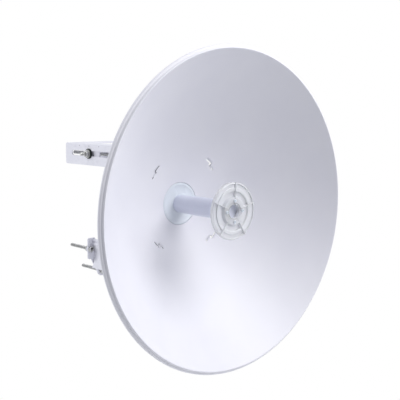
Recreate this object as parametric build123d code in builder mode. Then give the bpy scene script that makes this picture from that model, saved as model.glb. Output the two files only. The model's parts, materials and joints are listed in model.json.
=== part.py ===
"""Dish antenna for a microwave link on a pole, with its radio, tilt frame and two pole clamps.

Millimetres. Origin on the pole's axis beside the lower clamp, +Z up the pole, +X out of the dish.
"""

import os

from build123d import *

os.makedirs("parts", exist_ok=True)

# ---- Driving dimensions -------------------------------------------------------------------

# pole and its two clamps
pole_radius = 31.75
pole_clearance = 3.0            # between the pole and whatever isn't meant to grip it
saddle_half_width = 22.0
saddle_depth = 4.9              # how far a saddle's tips reach back round the pole
saddle_bottom = -27.0           # lower clamp's grip on the pole, along Z
saddle_top = 40.0
upper_saddle_half_height = 15.0

# reflector
dish_axis_z = 140.0
vertex_x = 177.5
focal_length = 141.4
rim_radius = 323.0              # outermost circle of the rolled edge
bead_radius = 5.5
sheet = 2.2                     # measured along the dish's axis
curl_sheet = 1.6
curl_opening = 1.6
seat_hole_radius = 36.0
seat_radius = 45.4
seat_recess = 3.0               # flat spun seat for the vertex plate

# hooks of the tilt frame and the slits they pass
slit_radius = 107.0             # middle of each Z-shaped slit, from the dish's axis
slit_angles = (49.0, 138.0, 228.0, 314.0)
slit_hands = (1, -1, -1, 1)
slit_leg = 14.0
slit_step = 5.0
slit_width = 2.0
hook_sheet = 1.5
hook_width = 9.0
hook_proud = 0.6
hook_start = 1.0                # from the slit's middle, along its leg
leg_sheet = 3.0
leg_width = 22.0
leg_start = 84.0                # from the dish's axis, inside the frame's plate
leg_gap = 0.3                   # between a leg's end and the back of the dish

# feed
vertex_plate_radius = 44.9
vertex_plate_thickness = 3.0
collar_radius = 18.7
collar_length = 51.0            # in front of the vertex plate
sleeve_radius = 19.7
feed_fit = 0.1                  # radial gap between nested feed tubes
waveguide_radius = 14.2
waveguide_bore = 12.9
spigot_length = 15.0            # of the base, inside the sleeve
spigot_wall = 1.5
window_thickness = 3.0          # closed end of the sleeve, behind the disc
seal_inner_radius = 15.5
seal_outer_radius = 17.1
seal_thickness = 1.2
seal_gap = 0.1
feed_flange_radius = 26.0
feed_flange_thickness = 4.0
disc_radius = 57.4
disc_thickness = 10.7
disc_back_x = vertex_x + focal_length + 16.3
disc_boss_radius = 3.5
disc_boss_circle = 21.0
disc_screw_radius = 1.5
disc_screw_head = 2.0
disc_screw_bite = 3.2           # into the sleeve's flange
plate_share = 0.68              # heights of the disc's steps, as shares of its thickness
ring_share = 0.14
rib_share = 0.24
outer_ring = (0.80, 0.92)       # radii of the disc's rings, as shares of its radius
inner_ring = 0.68
raised_centre = 0.50
rib_span = (0.49, 0.99)
rib_width = 2.0
rib_count = 5
rib_first_angle = 14.0

# rear hub and tilt frame
hub_depth = 13.0
hub_radius = 50.0
hub_flange_radius = 60.0
hub_screw_circle = 40.6
hub_screw_radius = 2.5
screw_fit = 0.25
frame_sheet = 3.0
frame_half_height = 75.0

# tilt linkage
tilt_pivot_z = 15.0
arm_pivot = (140.5, 237.5)      # X and Z
cross_bolt_x = -49.5
pivot_boss = 18.0
bolt_radius = 4.0
running_fit = 0.05
hole_fit = 0.25
bolt_flats = 13.0
head_height = 5.3
nut_height = 6.5
washer_gap = 0.05

# elevation arm
arm_sheet = 2.5
arm_wing_gap = 1.9              # between the upper clamp's wings and the arm
arm_frame_gap = 3.5             # filled by the pivot's spacer and its washer gaps
arm_rear_x = -145.0
arm_nose = 14.0                 # in front of its pivot
arm_nose_corner = 12.0
arm_tail_corner = 5.0
arm_above_pivot = 22.0
arm_below_pivot = 26.5
arm_bend = 4.0
slot_length = 149.0
slot_width = 12.0
slot_centre_x = -45.0
opening_rear_x = -96.0
opening_front_x = 101.0
opening_half_width = 38.0

# upper clamp
cross_bolt_out = 24.0           # bolt end beyond the arm's side
rod_y = 60.0
rod_rear_x = -128.0
rod_end = 7.5                   # rod beyond its front nut
upper_web_x = -56.0
upper_web_sheet = 3.0
wing_sheet = 3.0
wing_clearance = 0.6            # between a rod and its wing
wing_front_x = -15.0
upper_rear_half_height = 12.0
upper_ear_sheet = 4.0
upper_ear_half_height = 9.0
saddle_wall = 8.25              # in front of the pole, for both clamps
upper_ear_setback = 14.0        # ears behind the block's front

# lower clamp
ear_x = -58.0
ear_sheet = 3.0
rail_thickness = 8.0
rail_frame_gap = 1.0            # filled by the pivot's washer
web_hollow = 5.0
bracket_front_wall = 6.0
shelf_sheet = 3.0
shelf_inner_y = 24.0
ear_height = 49.0
ear_margin = 8.0                # outside its bolt
lower_ear_radius = 12.0
nut_pocket_radius = 10.0
nut_pocket_depth = 11.0
upper_bolt_out = 4.5            # outside the cheek
upper_bolt_z = 18.0
lower_bolt = (37.0, -36.0)      # Y and Z
clamp_bolt_tip_x = -135.0
jaw_gap = 0.2
jaw_sheet = 3.0
jaw_pocket_depth = 20.0

# radio
radio_half_width = 52.0
radio_half_height = 68.0
radio_front_x = 155.5
radio_split_x = 141.5
radio_rear_x = 108.0
radio_wall = 3.0
gasket_thickness = 1.0
gasket_margin = 0.4
board_x = 125.0
board_thickness = 1.6


# ---- Geometry shared by several pieces ----------------------------------------------------

# with the tilt pivot halfway along, the arm turns by half of the dish's tilt
tilt_pivot = ((cross_bolt_x + arm_pivot[0]) / 2, tilt_pivot_z)
arm_top_z = arm_pivot[1] + arm_above_pivot
arm_bottom_z = arm_pivot[1] - arm_below_pivot

# across the pole, each piece fits inside the next: rod, wing, arm, and then frame and bracket inwards
wing_inner_y = rod_y + bolt_radius + wing_clearance
wing_outer_y = wing_inner_y + wing_sheet
arm_inner_y = wing_outer_y + arm_wing_gap
arm_outer_y = arm_inner_y + arm_sheet
frame_outer_y = arm_inner_y - arm_frame_gap
frame_inner_y = frame_outer_y - frame_sheet
rail_outer_y = frame_inner_y - rail_frame_gap
rail_inner_y = rail_outer_y - rail_thickness
upper_bolt = (rail_outer_y + upper_bolt_out, upper_bolt_z)

# along X, the clamps' front parts follow the pole
saddle_tip_x = (pole_radius**2 - saddle_half_width**2) ** 0.5 - saddle_depth
bracket_front_x = pole_radius + saddle_wall
upper_block_front_x = bracket_front_x
upper_ear_x = upper_block_front_x - upper_ear_setback
rod_front_x = upper_ear_x + upper_ear_sheet + nut_height + rod_end

bead_centre_radius = rim_radius - bead_radius
edge_radius = rim_radius - 2 * bead_radius
bowl_radius = edge_radius + curl_sheet / 2      # the bowl ends inside the bead's wall
dish_axis = Axis((0, 0, dish_axis_z), (1, 0, 0))
dish_section = Plane(origin=(0, 0, dish_axis_z), x_dir=(1, 0, 0), z_dir=(0, -1, 0))


def front_x(radius):
    """Inner face of the paraboloid."""
    return vertex_x + radius**2 / (4 * focal_length)


def back_x(radius):
    """Outer face of the paraboloid."""
    return front_x(radius) - sheet


def control_x(inner, outer):
    """Where the tangents at two radii of the paraboloid meet, which makes a Bezier curve exact."""
    return vertex_x + inner * outer / (4 * focal_length)


def facing_x(x):
    """A plane across X, centred on the dish's axis, with Y and Z as its own axes."""
    return Plane(origin=(x, 0, dish_axis_z), x_dir=(0, 1, 0), z_dir=(1, 0, 0))


def side(y):
    """A plane across Y that extrudes towards -Y, with X and Z as its own axes."""
    return Plane(origin=(0, y, 0), x_dir=(1, 0, 0), z_dir=(0, -1, 0))


def both_sides(point):
    """A point given by Y and Z, and its mirror image."""
    return [(point[0], point[1]), (-point[0], point[1])]


def hex_bolts(centres, head_x, tip_x, direction):
    """Hexagon bolts along X. The head stands on head_x, away from direction."""
    with BuildPart() as bolts:
        with BuildSketch(Plane.YZ.offset(head_x)):
            with Locations(*centres):
                RegularPolygon(bolt_flats / 2, 6, major_radius=False)
        extrude(amount=-direction * head_height)
        with BuildSketch(Plane.YZ.offset(head_x)):
            with Locations(*centres):
                Circle(bolt_radius)
        extrude(amount=tip_x - head_x)
        chamfer(bolts.faces().filter_by(Plane.YZ).group_by(Axis.X)[0 if direction < 0 else -1].edges(), 1.2)
    return bolts


def nuts_along_x(centres, seat_x, direction, flange_radius=0.0):
    """Hexagon nuts on bolts along X, standing on seat_x, with a flange if one is given."""
    with BuildPart() as nuts:
        with BuildSketch(Plane.YZ.offset(seat_x)):
            with Locations(*centres):
                RegularPolygon(bolt_flats / 2, 6, major_radius=False)
                Circle(bolt_radius + running_fit, mode=Mode.SUBTRACT)
        extrude(amount=direction * nut_height)
        if flange_radius:
            with BuildSketch(Plane.YZ.offset(seat_x)):
                with Locations(*centres):
                    Circle(flange_radius)
                    Circle(bolt_radius + running_fit, mode=Mode.SUBTRACT)
            extrude(amount=direction * 1.5)
    return nuts


# ---- Reflector ----------------------------------------------------------------------------

seat_x = vertex_x + 0.5
seat_back_radius = seat_radius + sheet

with BuildPart() as reflector:
    with BuildSketch(dish_section):
        with BuildLine():
            Polyline(
                (front_x(seat_radius), seat_radius),
                (seat_x, seat_radius),
                (seat_x, seat_hole_radius),
                (seat_x - sheet, seat_hole_radius),
                (seat_x - sheet, seat_back_radius),
                (back_x(seat_back_radius), seat_back_radius),
            )
            Bezier(
                (back_x(seat_back_radius), seat_back_radius),
                (control_x(seat_back_radius, bowl_radius) - sheet, (seat_back_radius + bowl_radius) / 2),
                (back_x(bowl_radius), bowl_radius),
            )
            Line((back_x(bowl_radius), bowl_radius), (front_x(bowl_radius), bowl_radius))
            Bezier(
                (front_x(bowl_radius), bowl_radius),
                (control_x(seat_radius, bowl_radius), (seat_radius + bowl_radius) / 2),
                (front_x(seat_radius), seat_radius),
            )
        make_face()
        # rolled edge: a curl that stays open a little at the back
        with Locations((front_x(edge_radius), bead_centre_radius)):
            Circle(bead_radius)
            Circle(bead_radius - curl_sheet, mode=Mode.SUBTRACT)
        with Locations((front_x(edge_radius) - bead_radius, bead_centre_radius - curl_opening)):
            Rectangle(3 * curl_sheet, curl_opening, mode=Mode.SUBTRACT)
    revolve(axis=dish_axis)
    # Z-shaped slits for the tilt frame's hooks
    for slit_angle, slit_hand in zip(slit_angles, slit_hands):
        with BuildSketch(facing_x(back_x(slit_radius) - 12)):
            with Locations(Location((0, 0, 0), (0, 0, slit_angle))):
                with Locations((slit_radius - slit_step / 2, -slit_hand * slit_leg / 2)):
                    Rectangle(slit_width, slit_leg + slit_width)
                with Locations((slit_radius + slit_step / 2, slit_hand * slit_leg / 2)):
                    Rectangle(slit_width, slit_leg + slit_width)
                with Locations((slit_radius, 0)):
                    Rectangle(slit_step + slit_width, slit_width)
        extrude(amount=24, mode=Mode.SUBTRACT)
    with BuildSketch(facing_x(seat_x)):
        with PolarLocations(hub_screw_circle, 4, start_angle=45):
            Circle(hub_screw_radius + screw_fit)
    extrude(amount=-sheet, mode=Mode.SUBTRACT)
reflector.part.label = "reflector"
export_step(reflector.part, "parts/reflector.step")

# ---- Feed ---------------------------------------------------------------------------------

vertex_face_x = seat_x + vertex_plate_thickness
hub_front_x = seat_x - sheet
feed_base_flange_radius = seat_hole_radius - 0.5
collar_bore = waveguide_radius + feed_fit
spigot_radius = collar_radius - spigot_wall
sleeve_start_x = vertex_face_x + collar_length
sleeve_bore = spigot_radius + feed_fit

with BuildPart() as vertex_plate:
    with BuildSketch(facing_x(seat_x)):
        Circle(vertex_plate_radius)
        Circle(collar_radius + feed_fit, mode=Mode.SUBTRACT)
    extrude(amount=vertex_plate_thickness)
    fillet(vertex_plate.faces().sort_by(Axis.X)[-1].edges().sort_by(SortBy.LENGTH)[-1], 1.0)
    with BuildSketch(facing_x(seat_x)):
        with PolarLocations(hub_screw_circle, 4, start_angle=45):
            Circle(hub_screw_radius + running_fit)
    extrude(amount=vertex_plate_thickness - 1.0, mode=Mode.SUBTRACT)
vertex_plate.part.label = "vertex_plate"
export_step(vertex_plate.part, "parts/vertex_plate.step")

# lower part of the feed: a flange behind the vertex plate, a collar and a spigot
feed_flange_back_x = seat_x - 4.0
feed_base_back_x = feed_flange_back_x - 6.0
with BuildPart() as feed_base:
    with BuildSketch(facing_x(feed_base_back_x)):
        Circle(collar_radius)
    extrude(amount=sleeve_start_x - feed_base_back_x)
    with BuildSketch(facing_x(feed_flange_back_x)):
        Circle(feed_base_flange_radius)
    extrude(amount=seat_x - feed_flange_back_x)
    with BuildSketch(facing_x(sleeve_start_x)):
        Circle(spigot_radius)
    extrude(amount=spigot_length)
    with BuildSketch(facing_x(feed_base_back_x)):
        Circle(collar_bore)
    extrude(amount=sleeve_start_x + spigot_length - feed_base_back_x, mode=Mode.SUBTRACT)
feed_base.part.label = "feed_base"
export_step(feed_base.part, "parts/feed_base.step")

waveguide_front_x = disc_back_x - window_thickness
with BuildPart() as feed_sleeve:
    with BuildSketch(facing_x(sleeve_start_x)):
        Circle(sleeve_radius)
    extrude(amount=disc_back_x - sleeve_start_x)
    with BuildSketch(facing_x(disc_back_x)):
        Circle(feed_flange_radius)
    extrude(amount=-feed_flange_thickness)
    with BuildSketch(facing_x(sleeve_start_x)):
        Circle(sleeve_bore)
    extrude(amount=spigot_length + feed_fit, mode=Mode.SUBTRACT)
    with BuildSketch(facing_x(sleeve_start_x)):
        Circle(collar_bore)
    extrude(amount=waveguide_front_x - sleeve_start_x, mode=Mode.SUBTRACT)
    # groove for the seal, and holes for the disc's screws
    with BuildSketch(facing_x(disc_back_x)):
        Circle(seal_outer_radius + seal_gap)
        Circle(seal_inner_radius - seal_gap, mode=Mode.SUBTRACT)
    extrude(amount=-seal_thickness, mode=Mode.SUBTRACT)
    with BuildSketch(facing_x(disc_back_x)):
        with PolarLocations(disc_boss_circle, 4):
            Circle(disc_screw_radius + running_fit)
    extrude(amount=-disc_screw_bite, mode=Mode.SUBTRACT)
feed_sleeve.part.label = "feed_sleeve"
export_step(feed_sleeve.part, "parts/feed_sleeve.step")

with BuildPart() as feed_seal:
    with BuildSketch(facing_x(disc_back_x)):
        Circle(seal_outer_radius)
        Circle(seal_inner_radius, mode=Mode.SUBTRACT)
    extrude(amount=-seal_thickness)
feed_seal.part.label = "feed_seal"
export_step(feed_seal.part, "parts/feed_seal.step")

waveguide_back_x = radio_split_x - 7.5
disc_front_x = disc_back_x + disc_thickness
with BuildPart() as waveguide_tube:
    with BuildSketch(facing_x(waveguide_back_x)):
        Circle(waveguide_radius)
        Circle(waveguide_bore, mode=Mode.SUBTRACT)
    extrude(amount=waveguide_front_x - feed_fit - waveguide_back_x)
waveguide_tube.part.label = "waveguide_tube"
export_step(waveguide_tube.part, "parts/waveguide_tube.step")

# clear disc in front of the feed, stepped in rings, with five ribs and a raised centre
disc_plate_x = disc_back_x + disc_thickness * plate_share
with BuildPart() as subreflector_disc:
    with BuildSketch(facing_x(disc_back_x)):
        Circle(disc_radius)
    extrude(amount=disc_plate_x - disc_back_x)
    with BuildSketch(facing_x(disc_plate_x)):
        Circle(disc_radius * outer_ring[1])
        Circle(disc_radius * outer_ring[0], mode=Mode.SUBTRACT)
        Circle(disc_radius * inner_ring)
    extrude(amount=disc_thickness * ring_share)
    with BuildSketch(facing_x(disc_plate_x)):
        Circle(disc_radius * raised_centre)
    extrude(amount=disc_front_x - disc_plate_x)
    with BuildSketch(facing_x(disc_plate_x)):
        with PolarLocations(disc_radius * sum(rib_span) / 2, rib_count, start_angle=rib_first_angle):
            Rectangle(disc_radius * (rib_span[1] - rib_span[0]), rib_width)
    extrude(amount=disc_thickness * rib_share)
    with BuildSketch(facing_x(disc_back_x)):
        Circle(collar_bore)
    extrude(amount=disc_thickness, mode=Mode.SUBTRACT)
    with BuildSketch(facing_x(disc_back_x)):
        with PolarLocations(disc_boss_circle, 4):
            Circle(disc_screw_radius + screw_fit)
    extrude(amount=disc_thickness, mode=Mode.SUBTRACT)
subreflector_disc.part.label = "subreflector_disc"
export_step(subreflector_disc.part, "parts/subreflector_disc.step")

with BuildPart() as subreflector_screws:
    with BuildSketch(facing_x(disc_front_x)):
        with PolarLocations(disc_boss_circle, 4):
            Circle(disc_boss_radius)
    extrude(amount=disc_screw_head)
    with BuildSketch(facing_x(disc_front_x)):
        with PolarLocations(disc_boss_circle, 4):
            Circle(disc_screw_radius)
    extrude(amount=-disc_thickness - disc_screw_bite + 0.2)
subreflector_screws.part.label = "subreflector_screws"
export_step(subreflector_screws.part, "parts/subreflector_screws.step")

# ---- Rear hub and tilt frame ---------------------------------------------------------------

hub_back_x = hub_front_x - hub_depth
hub_bore = sleeve_radius
with BuildPart() as rear_hub:
    with BuildSketch(facing_x(hub_back_x)):
        Circle(hub_radius)
    extrude(amount=hub_depth)
    with BuildSketch(facing_x(hub_front_x)):
        Circle(hub_flange_radius)
    extrude(amount=-5.0)
    fillet(rear_hub.edges().filter_by(GeomType.CIRCLE).group_by(SortBy.RADIUS)[-1], 1.0)
    with BuildSketch(facing_x(hub_front_x)):
        Circle(seat_hole_radius)
    extrude(amount=feed_flange_back_x - hub_front_x, mode=Mode.SUBTRACT)
    with BuildSketch(facing_x(hub_back_x)):
        Circle(hub_bore)
        with PolarLocations(hub_screw_circle, 4, start_angle=45):
            Circle(hub_screw_radius + screw_fit)
    extrude(amount=hub_depth, mode=Mode.SUBTRACT)
rear_hub.part.label = "rear_hub"
export_step(rear_hub.part, "parts/rear_hub.step")

frame_front_x = hub_back_x
frame_back_x = frame_front_x - frame_sheet
with BuildPart() as hub_screws:
    with BuildSketch(facing_x(frame_back_x)):
        with PolarLocations(hub_screw_circle, 4, start_angle=45):
            Circle(4.75)
    extrude(amount=-3.2)
    fillet(hub_screws.faces().sort_by(Axis.X)[:4].edges(), 1.2)
    with BuildSketch(facing_x(frame_back_x)):
        with PolarLocations(hub_screw_circle, 4, start_angle=45):
            Circle(hub_screw_radius)
    extrude(amount=seat_x + vertex_plate_thickness - 1.2 - frame_back_x)
hub_screws.part.label = "hub_screws"
export_step(hub_screws.part, "parts/hub_screws.step")

hook_radius = slit_radius - slit_step / 2
leg_end = hook_radius + leg_sheet / 2
radio_screw_places = [(-40.0, -52.0), (40.0, -52.0), (-40.0, 52.0), (40.0, 52.0)]
ground_place = (118.0, 58.0)
with BuildPart() as tilt_frame:
    # front plate
    with BuildSketch(facing_x(frame_back_x)):
        Rectangle(2 * frame_outer_y, 2 * frame_half_height)
    extrude(amount=frame_sheet)
    # side flanges from the plate back to both pivots
    with BuildSketch(side(frame_outer_y)):
        with Locations(tilt_pivot):
            Circle(pivot_boss)
        with Locations(arm_pivot):
            Circle(pivot_boss - 2)
        with Locations((frame_front_x - 4, dish_axis_z)):
            Rectangle(8, 2 * frame_half_height)
        make_hull()
        with Locations(tilt_pivot, arm_pivot):
            Circle(bolt_radius + running_fit, mode=Mode.SUBTRACT)
        with Locations(ground_place):
            Circle(2.6, mode=Mode.SUBTRACT)
    extrude(amount=frame_sheet)
    mirror(about=Plane.XZ)
    # four legs that reach the back of the dish, each with a hook through its slit
    for slit_angle, slit_hand in zip(slit_angles, slit_hands):
        turned = Location((0, 0, 0), (0, 0, slit_angle))
        with BuildSketch(facing_x(frame_back_x)):
            with Locations(turned):
                with Locations(((leg_start + leg_end) / 2, 0)):
                    Rectangle(leg_end - leg_start, leg_width)
        extrude(amount=frame_sheet)
        with BuildSketch(facing_x(frame_back_x)):
            with Locations(turned):
                with Locations((hook_radius, 0)):
                    Rectangle(leg_sheet, leg_width)
        extrude(amount=back_x(hook_radius - leg_sheet / 2) - leg_gap - frame_back_x)
        with BuildSketch(facing_x(frame_back_x)):
            with Locations(turned):
                with Locations((hook_radius, -slit_hand * (hook_start + hook_width / 2))):
                    Rectangle(hook_sheet, hook_width)
        extrude(amount=front_x(hook_radius) + hook_proud - frame_back_x)
    with BuildSketch(facing_x(frame_back_x)):
        Circle(hub_bore)
        with PolarLocations(hub_screw_circle, 4, start_angle=45):
            Circle(hub_screw_radius + screw_fit)
        with Locations(*radio_screw_places):
            Circle(2.0 + screw_fit)
    extrude(amount=frame_sheet, mode=Mode.SUBTRACT)
tilt_frame.part.label = "tilt_frame"
export_step(tilt_frame.part, "parts/tilt_frame.step")

with BuildPart() as ground_screw:
    with BuildSketch(side(-frame_outer_y)):
        with Locations(ground_place):
            Circle(4.6)
    extrude(amount=2.8)
    fillet(ground_screw.faces().sort_by(Axis.Y)[0].edges(), 1.0)
    with BuildSketch(side(-frame_outer_y)):
        with Locations(ground_place):
            Circle(2.5)
    extrude(amount=-10)
ground_screw.part.label = "ground_screw"
export_step(ground_screw.part, "parts/ground_screw.step")

with BuildPart() as ground_nut:
    with BuildSketch(side(-frame_outer_y + frame_sheet + 4)):
        with Locations(ground_place):
            RegularPolygon(4.0, 6, major_radius=False)
            Circle(2.5 + running_fit, mode=Mode.SUBTRACT)
    extrude(amount=4)
ground_nut.part.label = "ground_nut"
export_step(ground_nut.part, "parts/ground_nut.step")

# ---- Radio --------------------------------------------------------------------------------

radio_corners = [(-45.0, -61.0), (45.0, -61.0), (-45.0, 61.0), (45.0, 61.0)]
board_posts = [(-37.0, -48.0), (37.0, -48.0), (-37.0, 48.0), (37.0, 48.0)]
port_centre = (118.2, -20.0)    # X and Y
port_size = (11.5, 14.0)
button_centre = (118.2, 15.0)
button_radius = 2.5
hinge_centre = (109.0, dish_axis_z - radio_half_height - 2.5)
hinge_pin_radius = 1.2
hinge_half_width = 30.0
lug_sheet = 4.0
cover_gap = 0.3
lens_places = [(131.0, dish_axis_z - 20 + 9 * step) for step in range(4)]
radio_bottom_z = dish_axis_z - radio_half_height
front_shell_x = radio_split_x + gasket_thickness / 2
rear_shell_x = radio_split_x - gasket_thickness / 2

with BuildPart() as radio_front_shell:
    with BuildSketch(facing_x(front_shell_x)):
        RectangleRounded(2 * radio_half_width, 2 * radio_half_height, 9)
    extrude(amount=radio_front_x - front_shell_x)
    fillet(radio_front_shell.faces().sort_by(Axis.X)[-1].edges(), 3.0)
    with BuildSketch(facing_x(front_shell_x)):
        RectangleRounded(2 * (radio_half_width - radio_wall), 2 * (radio_half_height - radio_wall), 6)
        with Locations(*radio_corners):
            Circle(4.5, mode=Mode.SUBTRACT)
        with Locations(*radio_screw_places):
            Circle(5.0, mode=Mode.SUBTRACT)
    extrude(amount=radio_front_x - radio_wall - front_shell_x, mode=Mode.SUBTRACT)
    with BuildSketch(facing_x(radio_front_x)):
        with Locations(*radio_screw_places):
            Circle(6.0)
    extrude(amount=frame_back_x - radio_front_x)
    with BuildSketch(facing_x(radio_front_x)):
        Circle(hub_bore - 0.7)
    extrude(amount=feed_base_back_x - 0.5 - radio_front_x)
    with BuildSketch(facing_x(front_shell_x)):
        Circle(collar_bore)
    extrude(amount=feed_base_back_x - front_shell_x, mode=Mode.SUBTRACT)
    with BuildSketch(facing_x(front_shell_x)):
        with Locations(*radio_corners):
            Circle(1.5 + running_fit)
    extrude(amount=9.5, mode=Mode.SUBTRACT)
    with BuildSketch(facing_x(frame_back_x)):
        with Locations(*radio_screw_places):
            Circle(2.0 + running_fit)
    extrude(amount=-11.0, mode=Mode.SUBTRACT)
radio_front_shell.part.label = "radio_front_shell"
export_step(radio_front_shell.part, "parts/radio_front_shell.step")

with BuildPart() as radio_rear_shell:
    with BuildSketch(facing_x(radio_rear_x)):
        RectangleRounded(2 * radio_half_width, 2 * radio_half_height, 9)
    extrude(amount=rear_shell_x - radio_rear_x)
    fillet(radio_rear_shell.faces().sort_by(Axis.X)[0].edges(), 5.0)
    with BuildSketch(facing_x(radio_rear_x + radio_wall)):
        RectangleRounded(2 * (radio_half_width - radio_wall), 2 * (radio_half_height - radio_wall), 6)
        with Locations(*radio_corners):
            Circle(4.5, mode=Mode.SUBTRACT)
    extrude(amount=rear_shell_x - radio_rear_x - radio_wall, mode=Mode.SUBTRACT)
    with BuildSketch(facing_x(radio_rear_x + radio_wall)):
        with Locations(*board_posts):
            Circle(3.0)
    extrude(amount=board_x - radio_rear_x - radio_wall)
    with BuildSketch(facing_x(board_x)):
        with Locations(*board_posts):
            Circle(1.25 + running_fit)
    extrude(amount=-9.0, mode=Mode.SUBTRACT)
    # cooling ribs on the back
    with BuildSketch(facing_x(radio_rear_x)):
        with GridLocations(11, 0, 7, 1):
            SlotOverall(96, 2.2, rotation=90)
    extrude(amount=-4.0)
    # hinge lugs of the port cover
    for lug_y in (hinge_half_width + lug_sheet, -hinge_half_width):
        with BuildSketch(side(lug_y)):
            with Locations((hinge_centre[0] + 1.6, hinge_centre[1] + 1.3)):
                Rectangle(7.0, 6.6)
            with Locations(hinge_centre):
                Circle(hinge_pin_radius + running_fit, mode=Mode.SUBTRACT)
        extrude(amount=lug_sheet)
    with BuildSketch(facing_x(radio_rear_x)):
        with Locations(*radio_corners):
            Circle(1.5 + screw_fit)
    extrude(amount=rear_shell_x - radio_rear_x, mode=Mode.SUBTRACT)
    with BuildSketch(facing_x(radio_rear_x)):
        with Locations(*radio_corners):
            Circle(3.2)
    extrude(amount=3.0, mode=Mode.SUBTRACT)
    # opening for the data socket, hole for the reset button, holes for the status lenses
    with BuildSketch(Plane.XY.offset(radio_bottom_z - 0.01)):
        with Locations(port_centre):
            Rectangle(*port_size)
        with Locations(button_centre):
            Circle(button_radius + running_fit)
    extrude(amount=radio_wall + 0.02, mode=Mode.SUBTRACT)
    with BuildSketch(side(-radio_half_width + radio_wall)):
        with Locations(*lens_places):
            Circle(1.5 + running_fit)
    extrude(amount=radio_wall, mode=Mode.SUBTRACT)
radio_rear_shell.part.label = "radio_rear_shell"
export_step(radio_rear_shell.part, "parts/radio_rear_shell.step")

with BuildPart() as radio_gasket:
    with BuildSketch(facing_x(rear_shell_x)):
        RectangleRounded(2 * (radio_half_width - gasket_margin), 2 * (radio_half_height - gasket_margin), 8.6)
        RectangleRounded(
            2 * (radio_half_width - radio_wall + gasket_margin),
            2 * (radio_half_height - radio_wall + gasket_margin),
            6.4,
            mode=Mode.SUBTRACT,
        )
    extrude(amount=gasket_thickness)
radio_gasket.part.label = "radio_gasket"
export_step(radio_gasket.part, "parts/radio_gasket.step")

with BuildPart() as radio_screws:
    with BuildSketch(facing_x(radio_rear_x + 3.0)):
        with Locations(*radio_corners):
            Circle(2.9)
    extrude(amount=-2.2)
    with BuildSketch(facing_x(radio_rear_x + 3.0)):
        with Locations(*radio_corners):
            Circle(1.5)
    extrude(amount=front_shell_x + 8.0 - radio_rear_x - 3.0)
radio_screws.part.label = "radio_screws"
export_step(radio_screws.part, "parts/radio_screws.step")

with BuildPart() as frame_screws:
    with BuildSketch(facing_x(frame_front_x)):
        with Locations(*radio_screw_places):
            Circle(3.8)
    extrude(amount=2.4)
    fillet(frame_screws.faces().sort_by(Axis.X)[-4:].edges(), 0.9)
    with BuildSketch(facing_x(frame_front_x)):
        with Locations(*radio_screw_places):
            Circle(2.0)
    extrude(amount=-frame_sheet - 10.0)
frame_screws.part.label = "frame_screws"
export_step(frame_screws.part, "parts/frame_screws.step")

board_front_x = board_x + board_thickness
with BuildPart() as circuit_board:
    with BuildSketch(facing_x(board_x)):
        Rectangle(80, 112)
        with Locations(*board_posts):
            Circle(1.25 + screw_fit, mode=Mode.SUBTRACT)
    extrude(amount=board_thickness)
circuit_board.part.label = "circuit_board"
export_step(circuit_board.part, "parts/circuit_board.step")

with BuildPart() as board_screws:
    with BuildSketch(facing_x(board_front_x)):
        with Locations(*board_posts):
            Circle(2.4)
    extrude(amount=1.8)
    with BuildSketch(facing_x(board_front_x)):
        with Locations(*board_posts):
            Circle(1.25)
    extrude(amount=-board_thickness - 8.0)
board_screws.part.label = "board_screws"
export_step(board_screws.part, "parts/board_screws.step")

shield_depth = 6.4
with BuildPart() as rf_shield:
    with BuildSketch(facing_x(board_front_x)):
        Rectangle(50, 46)
    extrude(amount=shield_depth)
    with BuildSketch(facing_x(board_front_x)):
        Rectangle(48.4, 44.4)
    extrude(amount=shield_depth - 0.8, mode=Mode.SUBTRACT)
    with BuildSketch(facing_x(board_front_x)):
        Circle(15)
    extrude(amount=shield_depth, mode=Mode.SUBTRACT)
rf_shield.part.label = "rf_shield"
export_step(rf_shield.part, "parts/rf_shield.step")

with BuildPart() as feed_probes:
    with BuildSketch(facing_x(board_front_x)):
        with PolarLocations(7.0, 2, angular_range=180):
            Circle(0.8)
    extrude(amount=20)
feed_probes.part.label = "feed_probes"
export_step(feed_probes.part, "parts/feed_probes.step")

with BuildPart() as heat_spreader:
    with BuildSketch(facing_x(radio_rear_x + radio_wall)):
        Rectangle(56, 50)
    extrude(amount=board_x - radio_rear_x - radio_wall)
    with BuildSketch(facing_x(radio_rear_x + radio_wall)):
        with GridLocations(14, 0, 4, 1):
            Rectangle(6, 42)
    extrude(amount=board_x - radio_rear_x - radio_wall - 4, mode=Mode.SUBTRACT)
heat_spreader.part.label = "heat_spreader"
export_step(heat_spreader.part, "parts/heat_spreader.step")

socket_height = 19.0
with BuildPart() as data_socket:
    with BuildSketch(Plane.XY.offset(radio_bottom_z + radio_wall + 1.0)):
        with Locations(port_centre):
            Rectangle(13.4, 16.0)
    extrude(amount=socket_height)
    with BuildSketch(Plane.XY.offset(radio_bottom_z + radio_wall + 1.0)):
        with Locations(port_centre):
            Rectangle(8.5, 12.0)
            with Locations((4.6, 0)):
                Rectangle(2.0, 4.0)
    extrude(amount=13.0, mode=Mode.SUBTRACT)
data_socket.part.label = "data_socket"
export_step(data_socket.part, "parts/data_socket.step")

with BuildPart() as status_lenses:
    with BuildSketch(side(-radio_half_width + radio_wall)):
        with Locations(*lens_places):
            Circle(1.5)
    extrude(amount=radio_wall + 0.3)
status_lenses.part.label = "status_lenses"
export_step(status_lenses.part, "parts/status_lenses.step")

button_travel = 0.8
with BuildPart() as reset_button:
    with BuildSketch(Plane.XY.offset(radio_bottom_z + 0.5)):
        with Locations(button_centre):
            Circle(button_radius)
    extrude(amount=radio_wall + 3.0)
    with BuildSketch(Plane.XY.offset(radio_bottom_z + radio_wall + 0.1)):
        with Locations(button_centre):
            Circle(button_radius + 1.2)
    extrude(amount=1.2)
reset_button.part.label = "reset_button"
export_step(reset_button.part, "parts/reset_button.step")

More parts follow.
